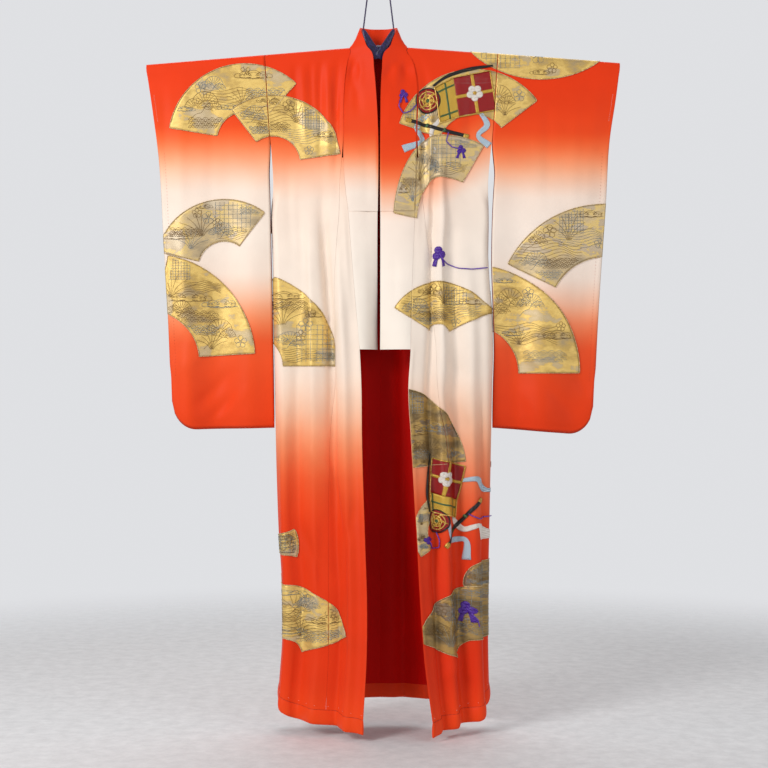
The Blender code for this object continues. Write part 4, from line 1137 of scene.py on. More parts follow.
def laidThread(name, dark, light, metallic, roughness):
    # floss or wrapped thread laid side by side: a painted sheen that runs with the stitches, which
    # are drawn 3.4 mm apart, wider than real, so that they show
    made, tree, shader = newMaterial(
        name, Metallic=metallic, Roughness=roughness, Specular_IOR_Level=0.4,
    )
    place = addNode(tree, "ShaderNodeTexCoord").outputs["UV"]
    strands = addNode(
        tree, "ShaderNodeTexWave", {"bands_direction": "DIAGONAL"},
        {"Vector": place, "Scale": 130.0, "Distortion": 3.0, "Detail": 2.0},
    )
    patchy = addNode(
        tree, "ShaderNodeTexNoise",
        inputs={"Vector": place, "Scale": 260.0, "Detail": 3.0, "Roughness": 0.7},
    )
    sheenAndPatches = addNode(
        tree, "ShaderNodeMath", {"operation": "MULTIPLY"},
        {0: strands.outputs["Fac"], 1: patchy.outputs["Fac"]},
    )
    # the colour is lighter along each band of stitches and darker between them: painted sheen and
    # painted shade; the patchy noise varies it at random
    ramp = addNode(
        tree, "ShaderNodeValToRGB", inputs={"Fac": sheenAndPatches.outputs[0]},
        stops=[(0.10, dark), (0.55, light)],
    )
    tree.links.new(ramp.outputs["Color"], shader.inputs["Base Color"])
    addBump(tree, shader, strands.outputs["Fac"], 0.0004, 0.4)
    return made


def couchedThread(name, dark, light, metallic, roughness):
    # a twisted thread held down by small stitches: light and dark flecks along it, its twist's
    # glints and shade painted in
    return fleckedFinish(
        name, (420, 1, 0.5), [(0.35, dark), (0.65, light)], (0.0002, 0.3),
        Metallic=metallic, Roughness=roughness, Specular_IOR_Level=0.4,
    )


laidFinishes = {
    "brocade": goldBrocade("woven gold brocade", [
        (0.34, "#B49C72"), (0.43, "#D2AE60"), (0.50, "#F0CC76"), (0.555, "#E4BE6A"),
        (0.575, "#CBB282"), (0.70, "#D6C09C"),
    ], (8.5, 13.0, 1.0)),
    "greyBrocade": goldBrocade("woven grey gold brocade", [
        (0.34, "#B4A07E"), (0.43, "#CCB48A"), (0.49, "#DABE88"), (0.54, "#E4C478"),
        (0.56, "#C4AE8E"), (0.70, "#D6C4A6"),
    ], (9.0, 17.0, 1.0)),
    # the grey gold brocade made darker: painted shade for the fans low on the wearer's left front,
    # which lie in the garment's shade
    "darkBrocade": goldBrocade("woven gold brocade in painted shade", [
        (0.34, "#6E5A3C"), (0.44, "#8A7248"), (0.50, "#A88850"), (0.56, "#B89450"),
        (0.58, "#84705A"), (0.70, "#96826A"),
    ], (9.0, 17.0, 1.0)),
    "crimson": laidThread("crimson silk floss", "#5E0408", "#C4201E", 0.1, 0.42),
    "yellow": laidThread("yellow gold thread", "#A87A1E", "#F2CC58", 0.3, 0.40),
    "green": laidThread("green silk floss", "#1E3A22", "#5C8450", 0.0, 0.45),
    "black": laidThread("black silk floss", "#0C0A0C", "#2E2826", 0.0, 0.35),
    "gold": laidThread("bright gold thread", "#9A6A18", "#FFD970", 0.6, 0.34),
    "paleBlue": laidThread("pale blue silk floss", "#7C96A8", "#DCE8EE", 0.0, 0.45),
    "white": laidThread("white silk floss", "#C8BCB0", "#FAF4EC", 0.0, 0.48),
    "purple": laidThread("purple silk floss", "#2C0E6C", "#6C38B8", 0.0, 0.42),
}
threadFinishes = {
    "umber": couchedThread("umber wrapped thread", "#6A4E2C", "#9A7A48", 0.2, 0.45),
    "silver": couchedThread("tarnished silver thread", "#6E7478", "#AEB4B2", 0.45, 0.40),
    "edge": couchedThread("taupe couched cord", "#9A7444", "#F0DCAC", 0.15, 0.45),
    "goldThread": couchedThread("gold couched thread", "#B07C20", "#FFDE80", 0.5, 0.36),
    "lilac": couchedThread("violet couched cord", "#34187E", "#7E54C6", 0.0, 0.42),
    "whiteThread": couchedThread("white basting thread", "#CFC8BC", "#FFFFFF", 0.0, 0.50),
    "redThread": couchedThread("red sewing thread", "#7A1408", "#C93A1C", 0.0, 0.50),
}


# Motifs lie on the cloth. Each is a grid of places in the plane of the bar: it is found again
# on the cloth without folds, cut at the cloth's edges, and laid on the folds

laid = {
    # heights over the cloth, and how thick a patch is
    "lift": 0.0006, "level": 0.0007, "stitchLift": 0.0002, "thickness": 0.0005,
    # steps of patches and threads, in metres and in the cloth's cells
    "cell": 0.0065, "threadStep": 0.0065, "threadCells": 1.7,
    # how far inside the cloth's edges motifs end, in cells, and the seen share of a turning one
    "margin": 0.06, "sleeveMargin": 0.15, "turning": 0.85,
    # the drawings' scale, the fan width that takes them in full, their step, the rim left clear
    "drawing": 1.3, "fullWidth": 0.13, "drawingStep": 0.003, "rim": 0.006, "rimTurn": 3,
}


facesLaid = {}  # each cloth's two faces, worked out once


def faceOf(piece, front):
    if (piece, front) in facesLaid:
        return facesLaid[piece, front]
    cloth = cloths[piece]
    rows = slice(cloth["top"], None) if front else slice(cloth["top"], None, -1)
    plane = planeOf(cloth["calm"][rows], front)
    face = {"points": cloth["points"][rows], "normals": cloth["normals"][rows], "plane": plane}
    facesLaid[piece, front] = face
    return face


def placesOn(face, wanted):
    # the row and column of the cloth's grid at each wanted place, going on past its edges
    far, outside = 100.0, fineness["rowStep"]
    columns = np.arange(face["plane"].shape[1], dtype=float)
    columns = np.concatenate([[-far], columns, [columns[-1] + far]])
    sheets = [
        np.concatenate([sheet[:, :1], sheet, sheet[:, -1:]], axis=1)
        for sheet in (face["plane"][..., 0], face["plane"][..., 1])
    ]
    if sheets[0][0, 0] > sheets[0][0, -1]:
        sheets, columns = [sheet[:, ::-1] for sheet in sheets], columns[::-1]
    ordered = np.maximum.accumulate(sheets[0], axis=1) + np.arange(len(columns)) * 1e-7
    ordered[:, 0] -= far * outside
    ordered[:, -1] += far * outside
    sheets[0] = ordered
    across, down = wanted.T
    columnAt = np.array([np.interp(across, line, columns) for line in sheets[0]])
    downAt = np.array([np.interp(across, *line) for line in zip(*sheets)])
    downAt = np.maximum.accumulate(downAt, axis=0) + np.arange(len(downAt))[:, None] * 1e-6
    row = np.clip((downAt < down).sum(axis=0) - 1, 0, len(downAt) - 2)
    n = np.arange(len(wanted))
    share = (down - downAt[row, n]) / (downAt[row + 1, n] - downAt[row, n])
    # past the first and last row the places go on evenly
    share = np.where(down < downAt[0], (down - downAt[0]) / outside, share)
    share = np.where(down > downAt[-1], 1 + (down - downAt[-1]) / outside, share)
    held = np.clip(share, 0, 1)
    column = columnAt[row, n] * (1 - held) + columnAt[row + 1, n] * held
    return np.stack([row + share, column], axis=1)


def onCloth(face, places, lift):
    high, wide = face["plane"].shape[:2]
    row = np.clip(places[:, 0], 0, high - 1.001)
    column = np.clip(places[:, 1], 0, wide - 1.001)
    i, k = row.astype(int), column.astype(int)
    f, g = (row - i)[:, None], (column - k)[:, None]
    points, normals, plane = [
        (grid[i, k] * (1 - g) + grid[i, k + 1] * g) * (1 - f)
        + (grid[i + 1, k] * (1 - g) + grid[i + 1, k + 1] * g) * f
        for grid in (face["points"], face["normals"], face["plane"])
    ]
    normals /= np.linalg.norm(normals, axis=1)[:, None]
    return points + normals * (cut["cloth"] / 2 + lift), normals, plane


def marginOf(piece):
    # a sleeve's last column turns round its seam, so there the motifs end further in
    return laid["sleeveMargin"] if piece.startswith("sleeve") else laid["margin"]


def turningColumns(face):
    # the columns near both ends, and those that the camera sees drawn together
    real = np.linalg.norm(np.diff(face["points"], axis=1), axis=2).min(axis=0)
    seen = np.abs(np.diff(face["plane"][..., 0], axis=1)).min(axis=0)
    k = np.arange(1, len(real))
    return k[(k < 9) | (k > len(real) - 8) | (seen[1:] < real[1:] * laid["turning"])]


patches, threads = {}, {}  # what each piece carries, by its name and finish


def cutPatch(bm, place, way, clear):
    geometry = bm.verts[:] + bm.edges[:] + bm.faces[:]
    bmesh.ops.bisect_plane(
        bm, geom=geometry, dist=1e-5, plane_co=place, plane_no=way, clear_outer=clear,
    )


def layPatch(piece, front, grid, level, finish, label="fans"):
    face = faceOf(piece, front)
    rows, columns = face["plane"].shape[:2]
    places = placesOn(face, grid.reshape(-1, 2))
    inside = (places > 0).all(axis=1) & (places[:, 0] < rows - 1) & (places[:, 1] < columns - 1)
    if not inside.any():
        return
    bm = bmesh.new()
    corners = [bm.verts.new((column, row, 0)) for row, column in places]
    for square in gridFaces(*grid.shape[:2]):
        bm.faces.new([corners[k] for k in square])
    edge = marginOf(piece)
    for place, way in (
        ((edge, 0, 0), (-1, 0, 0)), ((columns - 1 - edge, 0, 0), (1, 0, 0)),
        ((0, 0, 0), (0, -1, 0)), ((0, rows - 1 - edge, 0), (0, 1, 0)),
    ):
        cutPatch(bm, place, way, True)
    # cut finely where the cloth turns over the bar and away round its sides
    (firstRow, firstColumn), (lastRow, lastColumn) = places.min(axis=0), places.max(axis=0)
    for k in range(1, 13):
        if firstRow < k < lastRow:
            cutPatch(bm, (0, k, 0), (0, 1, 0), False)
    for k in turningColumns(face):
        if firstColumn < k < lastColumn:
            cutPatch(bm, (k, 0, 0), (1, 0, 0), False)
    bm.verts.index_update()
    if not bm.faces:
        bm.free()
        return
    places = np.array([(vert.co.y, vert.co.x) for vert in bm.verts])
    faces = [[vert.index for vert in polygon.verts] for polygon in bm.faces]
    bm.free()
    points, normals, plane = onCloth(face, places, laid["lift"] + laid["level"] * level)
    a, b, c = points[faces[0][0]], points[faces[0][1]], points[faces[0][2]]
    if np.dot(np.cross(b - a, c - a), normals[faces[0][0]]) < 0:
        faces = [polygon[::-1] for polygon in faces]
    patches.setdefault((f"{label}_{piece}", finish), []).append((points, faces, plane))


def layThread(piece, front, line, level, finish, label):
    # a thread's line, kept where it lies inside the cloth's edges
    face = faceOf(piece, front)
    rows, columns = face["plane"].shape[:2]
    line = np.asarray(line, float)
    along = lengthsOf(line)
    count = max(2, int(round(along[-1] / laid["threadStep"])) + 1)
    at = np.linspace(0, along[-1], count)
    line = np.stack([np.interp(at, along, line[:, k]) for k in (0, 1)], axis=1)
    places = placesOn(face, line)
    # more points where many columns or rows are passed
    passed = np.abs(np.diff(places, axis=0)).max(axis=1)
    passed = np.ceil(passed / laid["threadCells"]).clip(1, 30)
    passed = np.concatenate([[0], np.cumsum(passed)])
    count = int(passed[-1]) + 1
    places = np.stack([np.interp(np.arange(count), passed, places[:, k]) for k in (0, 1)], axis=1)
    edge = marginOf(piece)
    inside = (places > edge).all(axis=1)
    inside &= (places[:, 0] < rows - 1 - edge) & (places[:, 1] < columns - 1 - edge)
    points = onCloth(face, places, laid["lift"] + laid["level"] * level)[0]
    runs = np.split(np.arange(count), np.nonzero(np.diff(inside.astype(int)))[0] + 1)
    for run in runs:
        if inside[run[0]] and len(run) > 1:
            threads.setdefault((f"{label}_{piece}", finish), []).append(points[run])


# Shapes in the plane of the bar, each a grid of places

def squeezed(x, share):
    # the part left of a fan's middle, drawn in
    return np.where(x < 0, x * share, x)


def sector(centre, inner, outer, start, end, squeeze=1.0):
    around = max(2, int(math.radians(end - start) * outer / laid["cell"]) + 1)
    angles = np.radians(np.linspace(start, end, around))
    radii = np.linspace(inner, outer, max(2, int((outer - inner) / laid["cell"]) + 1))
    x = squeezed(np.outer(np.cos(angles), radii), squeeze)
    return np.stack([centre[0] + x, centre[1] - np.outer(np.sin(angles), radii)], axis=-1)


def band(line, widths):
    # a strip along a line of places, as wide as given at each of its ends and between
    line = np.asarray(line, float)
    along = lengthsOf(line)
    count = max(3, int(along[-1] / laid["cell"]) + 1)
    at = np.linspace(0, along[-1], count)
    middle = np.stack([through(along, line[:, k], at) for k in (0, 1)], axis=1)
    steps = np.gradient(middle, axis=0)
    steps /= np.linalg.norm(steps, axis=1)[:, None]
    aside = np.stack([-steps[:, 1], steps[:, 0]], axis=1)
    wide = np.interp(at, np.linspace(0, along[-1], len(widths)), widths)
    strips = max(2, int(max(widths) / laid["cell"]) + 2)
    shares = np.linspace(-0.5, 0.5, strips)
    return middle[:, None] + aside[:, None] * (wide[:, None] * shares[None])[..., None]


def quad(corners):
    # four corners in order round it, filled with a grid
    a, b, c, d = [np.array(corner, float) for corner in corners]
    count = [
        max(2, int(max(np.linalg.norm(b - a), np.linalg.norm(c - d)) / laid["cell"]) + 2),
        max(2, int(max(np.linalg.norm(d - a), np.linalg.norm(c - b)) / laid["cell"]) + 2),
    ]
    u = np.linspace(0, 1, count[0])[:, None, None]
    v = np.linspace(0, 1, count[1])[None, :, None]
    return a * (1 - u) * (1 - v) + b * u * (1 - v) + c * u * v + d * (1 - u) * v


# Drawings in thread on the fans: lines about a place, in metres, x across and y up

def arc(start, end, count):
    turn = np.radians(np.linspace(start, end, count))
    return np.stack([np.cos(turn), np.sin(turn)], axis=1)


def stream(size):
    x = np.linspace(-size, size, 40)
    return [
        np.stack([x, k * size * 0.09 + size * 0.07 * np.sin(x / size * 5 + k * 0.35)
                  * (1 + 0.5 * np.sin(x / size * 2.2))], axis=1)
        for k in range(-3, 4)
    ]


def waves(size):
    ring, step = arc(10, 170, 12), size * 0.42
    return [
        ring * step * 0.5 * scale + ((k + 0.5 * (row % 2)) * step, row * step * 0.28)
        for row in range(-2, 3) for k in range(-2, 3) for scale in (1.0, 0.58)
    ]


def pine(size):
    lines = []
    for x, y, scale in ((-0.5, -0.1, 0.6), (0.1, 0.15, 0.75), (0.6, -0.2, 0.5)):
        tips = arc(8, 172, 10) * scale
        lines += [np.array([tip * 0.25, tip]) * size + (x * size, y * size) for tip in tips]
        lines.append((tips * 1.08) * size + (x * size, y * size))
    trunk = [(-0.9, -0.9), (-0.5, -0.45), (-0.1, -0.35), (0.15, 0.1), (0.6, -0.25)]
    return lines + [np.array(trunk) * size]


def cloud(size):
    humps = ((-0.8, 0.18), (-0.45, 0.27), (0.0, 0.34), (0.45, 0.26), (0.8, 0.17))
    outline = np.concatenate([arc(165, 15, 8) * (r * 1.25, r) + (x, 0) for x, r in humps]) * size
    return [
        np.concatenate([top, top[::-1] * (1, -0.35), top[:1]])
        for top in (outline, outline * 0.72)
    ]


def lattice(size):
    reach = np.arange(-4, 5) * size * 0.25
    return [np.array([(k, -size), (k, size)]) for k in reach] + [
        np.array([(-size, k), (size, k)]) for k in reach
    ]


def grass(size):
    t = np.linspace(0, 1, 9)
    return [
        size * np.stack([bend * t**1.7 + root, height * (t - 0.28 * abs(bend) * t**2)], axis=1)
        for bend, height, root in (
            (-0.9, 0.8, -0.1), (-0.6, 1.0, -0.06), (-0.3, 1.15, -0.03), (0.0, 1.2, 0.0),
            (0.3, 1.1, 0.03), (0.65, 0.95, 0.06), (0.95, 0.75, 0.1),
        )
    ]


def blossom(size):
    centres = arc(90, 450, 6)[:5] * size * 0.58
    petalLines = [arc(0, 360, 11) * size * 0.42 + centre for centre in centres]
    return petalLines + [arc(0, 360, 8) * size * 0.18]


designs = {  # what is drawn on a fan: the drawing, its place round and out, its size, its thread
    "shore": [
        (stream, .55, .30, .070, "umber"), (pine, .24, .52, .036, "umber"),
        (pine, .40, .70, .026, "silver"), (cloud, .72, .74, .042, "umber"),
        (waves, .86, .42, .040, "silver"), (waves, .10, .30, .036, "umber"),
        (blossom, .33, .84, .013, "silver"), (grass, .62, .14, .034, "umber"),
        (cloud, .46, .14, .030, "silver"), (blossom, .66, .86, .011, "umber"),
        (cloud, .14, .82, .026, "silver"),
    ],
    "garden": [
        (lattice, .76, .66, .042, "silver"), (grass, .36, .30, .052, "umber"),
        (blossom, .52, .62, .016, "silver"), (blossom, .60, .44, .013, "umber"),
        (blossom, .44, .82, .012, "umber"), (cloud, .16, .72, .040, "umber"),
        (grass, .14, .28, .040, "silver"), (stream, .84, .22, .045, "umber"),
        (waves, .24, .60, .034, "umber"), (pine, .64, .18, .028, "silver"),
        (cloud, .50, .90, .026, "umber"), (waves, .92, .86, .030, "silver"),
    ],
    "hills": [
        (cloud, .30, .40, .050, "umber"), (cloud, .56, .72, .044, "silver"),
        (pine, .78, .42, .036, "umber"), (grass, .12, .30, .050, "umber"),
        (waves, .50, .22, .040, "umber"), (blossom, .90, .78, .014, "silver"),
        (lattice, .10, .82, .024, "silver"), (stream, .34, .72, .040, "umber"),
        (waves, .66, .14, .034, "silver"), (pine, .30, .14, .026, "umber"),
        (grass, .92, .24, .034, "umber"),
    ],
    "brook": [
        (stream, .30, .52, .075, "umber"), (stream, .74, .40, .060, "silver"),
        (grass, .56, .48, .050, "umber"), (pine, .12, .56, .030, "silver"),
        (cloud, .84, .80, .034, "umber"), (blossom, .44, .80, .015, "umber"),
        (blossom, .90, .26, .012, "silver"), (waves, .30, .18, .036, "umber"),
        (lattice, .66, .80, .026, "silver"), (pine, .28, .84, .026, "umber"),
        (waves, .08, .22, .030, "silver"),
    ],
}

fans = [  # across, down, inner and outer radius, angles from and to, anticlockwise from the
    # right, how much its left part is drawn in, level, design, cloth and what it lies on
    (-.385, .322, .080, .218, 48, 171, 1, 1, "shore", "brocade", "sleeve_right body_right"),
    (-.305, .388, .077, .194, 8, 128, 1, 2, "brook", "brocade", "sleeve_right body_right"),
    (-.445, .684, .074, .194, 53, 167, 1, 1, "garden", "greyBrocade", "sleeve_right"),
    (-.656, .946, .138, .300, 3, 80, 1, 2, "hills", "brocade", "sleeve_right"),
    (-.419, .966, .134, .280, 0, 65, 1, 1, "garden", "brocade", "body_right"),
    (-.352, 1.476, .002, .106, -18, 26, 1, 1, "brook", "brocade", "body_right"),
    (-.318, 1.806, .085, .226, 18, 86, 1, 1, "shore", "brocade", "body_right okumi_right"),
    (.459, -.151, .130, .300, 215, 325, 1, 1, "garden", "brocade", "sleeve_left body_left"),
    (.268, .345, .097, .225, 37, 162, 1, 1, "hills", "brocade",
     "sleeve_left body_left over_collar"),
    (.177, .561, .134, .254, 62, 173, .550, 2, "garden", "greyBrocade",
     "body_left okumi_left over_collar collar"),
    (.178, .886, .040, .162, 27, 148, 1, 1, "brook", "brocade", "body_left okumi_left collar"),
    (.641, .815, .160, .311, 88, 153, 1, 1, "brook", "greyBrocade", "sleeve_left"),
    (.262, .986, .134, .308, 0, 82, 1, 2, "shore", "brocade", "sleeve_left"),
    # the darkest brocade in the rows below is painted shade on the fans low on the wearer's left
    # front
    (.030, 1.262, .050, .236, 6, 80, 1, 1, "hills", "darkBrocade", "body_left okumi_left"),
    (.215, 1.440, .080, .122, 130, 215, 1, 1, "brook", "greyBrocade", "body_left okumi_left"),
    (.330, 1.580, .010, .068, 100, 190, 1, 1, "brook", "darkBrocade", "body_left"),
    (.322, 1.816, .085, .230, 90, 164, 1, 1, "garden", "darkBrocade", "body_left okumi_left"),
]

# The photograph doesn't show the back: like fans are spread over it in an order of their own
backFans = [
    (-.500, .330, .080, .215, 20, 140, 1, 1, "garden", "brocade", "sleeve_right"),
    (-.430, .880, .100, .250, 60, 170, 1, 1, "shore", "brocade", "sleeve_right"),
    (.500, .400, .090, .230, 45, 165, 1, 1, "brook", "greyBrocade", "sleeve_left"),
    (.470, .960, .100, .240, 10, 120, 1, 1, "hills", "brocade", "sleeve_left"),
    (.020, .420, .090, .240, 20, 150, 1, 1, "shore", "brocade", "body_left body_right"),
    (-.160, .600, .080, .200, 60, 175, 1, 2, "garden", "greyBrocade", "body_left body_right"),
    (.210, .960, .090, .230, 40, 160, 1, 1, "hills", "brocade", "body_left body_right"),
    (-.190, 1.230, .100, .250, 15, 110, 1, 1, "brook", "brocade", "body_left body_right"),
    (.120, 1.520, .090, .240, 50, 165, 1, 1, "shore", "brocade", "body_left body_right"),
    (-.170, 1.760, .090, .230, 20, 140, 1, 1, "hills", "brocade", "body_left body_right"),
]


def layFan(fan, front):
    x, y, inner, outer, start, end, squeeze, level, design, cloth, pieces = fan
    centre = np.array([x, y])
    grid = sector(centre, inner, outer, start, end, squeeze)
    edge = np.concatenate([grid[:, 0], grid[-1], grid[::-1, -1], grid[0, ::-1]])
    lines = []
    for draw, around, out, size, thread in designs[design]:
        angle = math.radians(end + (start - end) * around)
        radius = inner + (outer - inner) * out
        place = np.array([math.cos(angle), math.sin(angle)]) * radius
        size *= laid["drawing"] * min(1.0, (outer - inner) / laid["fullWidth"])
        for line in draw(size):
            line = np.asarray(line) + place
            along = lengthsOf(line)
            at = np.linspace(0, along[-1], max(3, int(along[-1] / laid["drawingStep"])))
            line = np.stack([np.interp(at, along, line[:, k]) for k in (0, 1)], axis=1)
            far = np.linalg.norm(line, axis=1)
            way = (np.degrees(np.arctan2(line[:, 1], line[:, 0])) - start) % 360
            kept = (far > inner + laid["rim"]) & (far < outer - laid["rim"])
            kept &= (way > laid["rimTurn"]) & (way < end - start - laid["rimTurn"])
            cuts = np.nonzero(np.diff(kept.astype(int)))[0] + 1
            for run in np.split(np.arange(len(line)), cuts):
                if kept[run[0]] and len(run) > 2:
                    x, y = line[run].T
                    lines.append((np.stack([squeezed(x, squeeze), -y], axis=1) + centre, thread))
    for piece in pieces.split():
        layPatch(piece, front, grid, level, cloth)
        layThread(piece, front, edge, level + 1.2, "edge", "fan_edges")
        for line, thread in lines:
            layThread(piece, front, line, level + 0.6, thread, "fan_lines")


for fan in fans:
    layFan(fan, True)
for fan in backFans:
    layFan(fan, False)
print("fans laid")


# Festive toys in coloured floss: a thread-wound ball, a wrapped box, a flute, ribbons and bows.
# Each part has its level, from 0 up; places are metres from the middle, across and down

def ringOf(centre, inner, outer):
    return sector(centre, inner, outer, 0, 360)


def petals(centre, count, reach, size, finish, level):
    (x, y), shapes = centre, []
    for way in np.linspace(0, 2 * math.pi, count, endpoint=False) + 0.3:
        place = (x + math.cos(way) * reach, y + math.sin(way) * reach)
        shapes.append((finish, level, ringOf(place, 0.0006, size)))
    return shapes


def bow(place, lean=1.0, size=1.0):
    # a knotted bow with two short tails
    (x, y), tails = place, []
    for a in (-0.006 * size, 0.007 * size):
        line = [(x, y), (x + a * lean, y + 0.012 * size), (x + 1.5 * a * lean, y + 0.024 * size)]
        tails.append(("purple", 4, band(line, np.array([0.003, 0.006, 0.008]) * size)))
    return tails + petals((x, y), 3, 0.0068 * size, 0.0072 * size, "purple", 5)


ball = {"place": (-.078, -.012), "radius": .037}


def ballOf(centre, r):
    # a ball wound with thread: a dark rim, gold leaves crossing on crimson, a green heart
    x, y = centre
    shapes = [
        ("black", 4, ringOf(centre, r * 0.90, r)),
        ("crimson", 4, ringOf(centre, 0.0006, r * 0.90)),
    ]
    for way in (20, 80, 140):
        c, s = math.cos(math.radians(way)) * r * 0.86, math.sin(math.radians(way)) * r * 0.86
        line = [(x - c, y - s), (x - c * 0.4 - s * 0.16, y - s * 0.4 + c * 0.16),
                (x + c * 0.4 + s * 0.16, y + s * 0.4 - c * 0.16), (x + c, y + s)]
        shapes.append(("yellow", 5, band(line, [0.001, r * 0.26, r * 0.26, 0.001])))
    return shapes + [("green", 6, ringOf(centre, 0.0006, r * 0.17))]


def toys():
    box = [(-.006, -.078), (.098, -.098), (.116, .014), (.012, .034)]
    middle = [[(a + b) / 2 for a, b in zip(box[k], box[(k + 1) % 4])] for k in range(4)]
    side = [(-.060, -.050), (-.006, -.078), (.012, .034), (-.040, .052)]
    shapes = [
        ("paleBlue", 0, band([(-.070, .020), (-.110, .062), (-.094, .098), (-.150, .126)],
                             [.012, .019, .014, .022])),
        ("white", 1, band([(-.040, .040), (-.066, .084), (-.040, .114), (-.074, .140)],
                          [.010, .017, .013, .020])),
        ("paleBlue", 1, band([(.070, .020), (.090, .058), (.066, .086), (.096, .116)],
                             [.010, .017, .012, .020])),
        ("crimson", 2, quad(box)), ("yellow", 2, quad(side)),
        ("black", 4, band([(-.064, -.054), (-.030, -.078), (.040, -.102), (.106, -.112)],
                          [.006, .010, .010, .006])),
    ]
    stripes = [  # finish, level, from, to and width
        ("yellow", 3, middle[0], middle[2], .009), ("yellow", 3, middle[1], middle[3], .009),
        ("green", 3, (-.050, -.036), (-.004, -.058), .005),
        ("green", 3, (-.040, .034), (.008, .016), .005),
        ("green", 3, (-.030, -.062), (-.012, .040), .005),
        ("gold", 4, (.012, .034), (.116, .014), .004),
        ("gold", 4, (.098, -.098), (.116, .014), .004),
        ("black", 3, (-.134, .044), (.030, .088), .010),
        ("gold", 4, (-.142, .042), (-.126, .046), .012),
        ("gold", 4, (.026, .087), (.040, .090), .012),
        ("green", 4, (-.084, .056), (-.078, .059), .012),
        ("green", 4, (-.030, .071), (-.024, .073), .012),
    ]
    for finish, level, start, end, width in stripes:
        shapes.append((finish, level, band([start, end], [width, width])))
    shapes += ballOf(ball["place"], ball["radius"])
    shapes += petals((.055, -.034), 5, .014, .010, "white", 4)
    shapes.append(("gold", 5, ringOf((.055, -.034), .0006, .006)))
    return shapes + bow((-.150, -.030)) + bow((.020, .128), -1.0)


def layToys(at, front, on, size=1.0, turn=0.0):
    c, s = math.cos(math.radians(turn)) * size, math.sin(math.radians(turn)) * size
    spin = np.array([[c, -s], [s, c]])
    lines = [
        ([(-.150, -.028), (-.164, .004), (-.150, .026), (-.128, .018), (-.112, .000)], "lilac"),
        ([(.020, .126), (-.006, .120), (-.022, .104), (-.016, .078)], "lilac"),
        ([(-.060, -.050), (-.006, -.078), (.098, -.098)], "goldThread"),
        ([(-.040, .052), (.012, .034)], "goldThread"),
        ([(-.060, -.050), (-.040, .052)], "goldThread"),
    ]
    for r in (.20, .45, .70):
        lines.append((arc(0, 360, 25) * ball["radius"] * r + ball["place"], "goldThread"))
    for piece in on:
        for finish, level, grid in toys():
            layPatch(piece, front, grid @ spin.T + at, level * 0.6 + 1, finish, "figures")
        for line, finish in lines:
            layThread(piece, front, np.array(line) @ spin.T + at, 5, finish, "cords")


def layBow(cordLine, on):
    for piece in on:
        layThread(piece, True, cordLine, 3, "lilac", "cords")
        for finish, level, grid in bow(cordLine[-1], 1.0, 1.5):
            layPatch(piece, True, grid, level * 0.6, finish, "figures")


layToys((.215, .222), True, ("body_left", "over_collar"))
layToys((.212, 1.345), True, ("body_left", "okumi_left"), 0.92, -68)
layBow([(.305, .686), (.270, .690), (.240, .687), (.210, .676), (.188, .660), (.180, .646)],
       ("body_left",))
layBow([(.292, 1.700), (.290, 1.680), (.280, 1.662), (.270, 1.654)], ("body_left",))
layToys((-.020, .205), False, ("body_left", "body_right"), 1.0, -12)
layToys((-.120, .960), False, ("body_left", "body_right"), 0.95, 100)
layToys((.200, 1.200), False, ("body_left", "body_right"), 0.9, -30)
print("figures laid")


# The laid pieces made: flat patches as thin shells, and every thread by Geometry Nodes

carried = {}  # the laid pieces on each cloth piece


def clothUnder(label):
    return max((name for name in cloths if label.endswith(name)), key=len)


for label in sorted({label for label, _ in patches}):
    group = {finish: parts for (own, finish), parts in patches.items() if own == label}
    points, faces = joined([part[:2] for parts in group.values() for part in parts])
    plane = np.concatenate([part[2] for parts in group.values() for part in parts])
    slots = np.repeat(
        np.arange(len(group)), [sum(len(part[1]) for part in parts) for parts in group.values()]
    )
    piece = newPiece(
        label, points, faces, [laidFinishes[finish] for finish in group], plane, slots,
        sharpAngle=None,
    )
    wall = piece.modifiers.new("thread", "SOLIDIFY")
    wall.thickness = laid["thickness"]
    wall.offset = -1
    carried.setdefault(clothUnder(label), []).append(piece)


def newTree(name, sockets):
    tree = bpy.data.node_groups.new(name, "GeometryNodeTree")
    tree.interface.new_socket("Geometry", in_out="INPUT", socket_type="NodeSocketGeometry")
    tree.interface.new_socket("Geometry", in_out="OUTPUT", socket_type="NodeSocketGeometry")
    for socket, kind in sockets:
        tree.interface.new_socket(socket, in_out="INPUT", socket_type=kind)
    return tree, addNode(tree, "NodeGroupInput"), addNode(tree, "NodeGroupOutput")


def endTree(tree, start, end, geometry):
    # real meshes in the tree's finish
    whole = addNode(tree, "GeometryNodeRealizeInstances", inputs={"Geometry": geometry})
    finished = addNode(
        tree, "GeometryNodeSetMaterial",
        inputs={"Geometry": whole.outputs["Geometry"], "Material": start.outputs["Finish"]},
    )
    tree.links.new(finished.outputs["Geometry"], end.inputs["Geometry"])
    return tree


def threadTree():
    # lines of edges become round threads
    tree, start, end = newTree("thread along lines", [
        ("Radius", "NodeSocketFloat"), ("Sides", "NodeSocketInt"),
        ("Finish", "NodeSocketMaterial"),
    ])
    line = addNode(tree, "GeometryNodeMeshToCurve", inputs={"Mesh": start.outputs["Geometry"]})
    ring = addNode(
        tree, "GeometryNodeCurvePrimitiveCircle",
        inputs={"Resolution": start.outputs["Sides"], "Radius": start.outputs["Radius"]},
    )
    tube = addNode(
        tree, "GeometryNodeCurveToMesh",
        inputs={"Curve": line.outputs["Curve"], "Profile Curve": ring.outputs["Curve"],
                "Fill Caps": True},
    )
    return endTree(tree, start, end, tube.outputs["Mesh"])


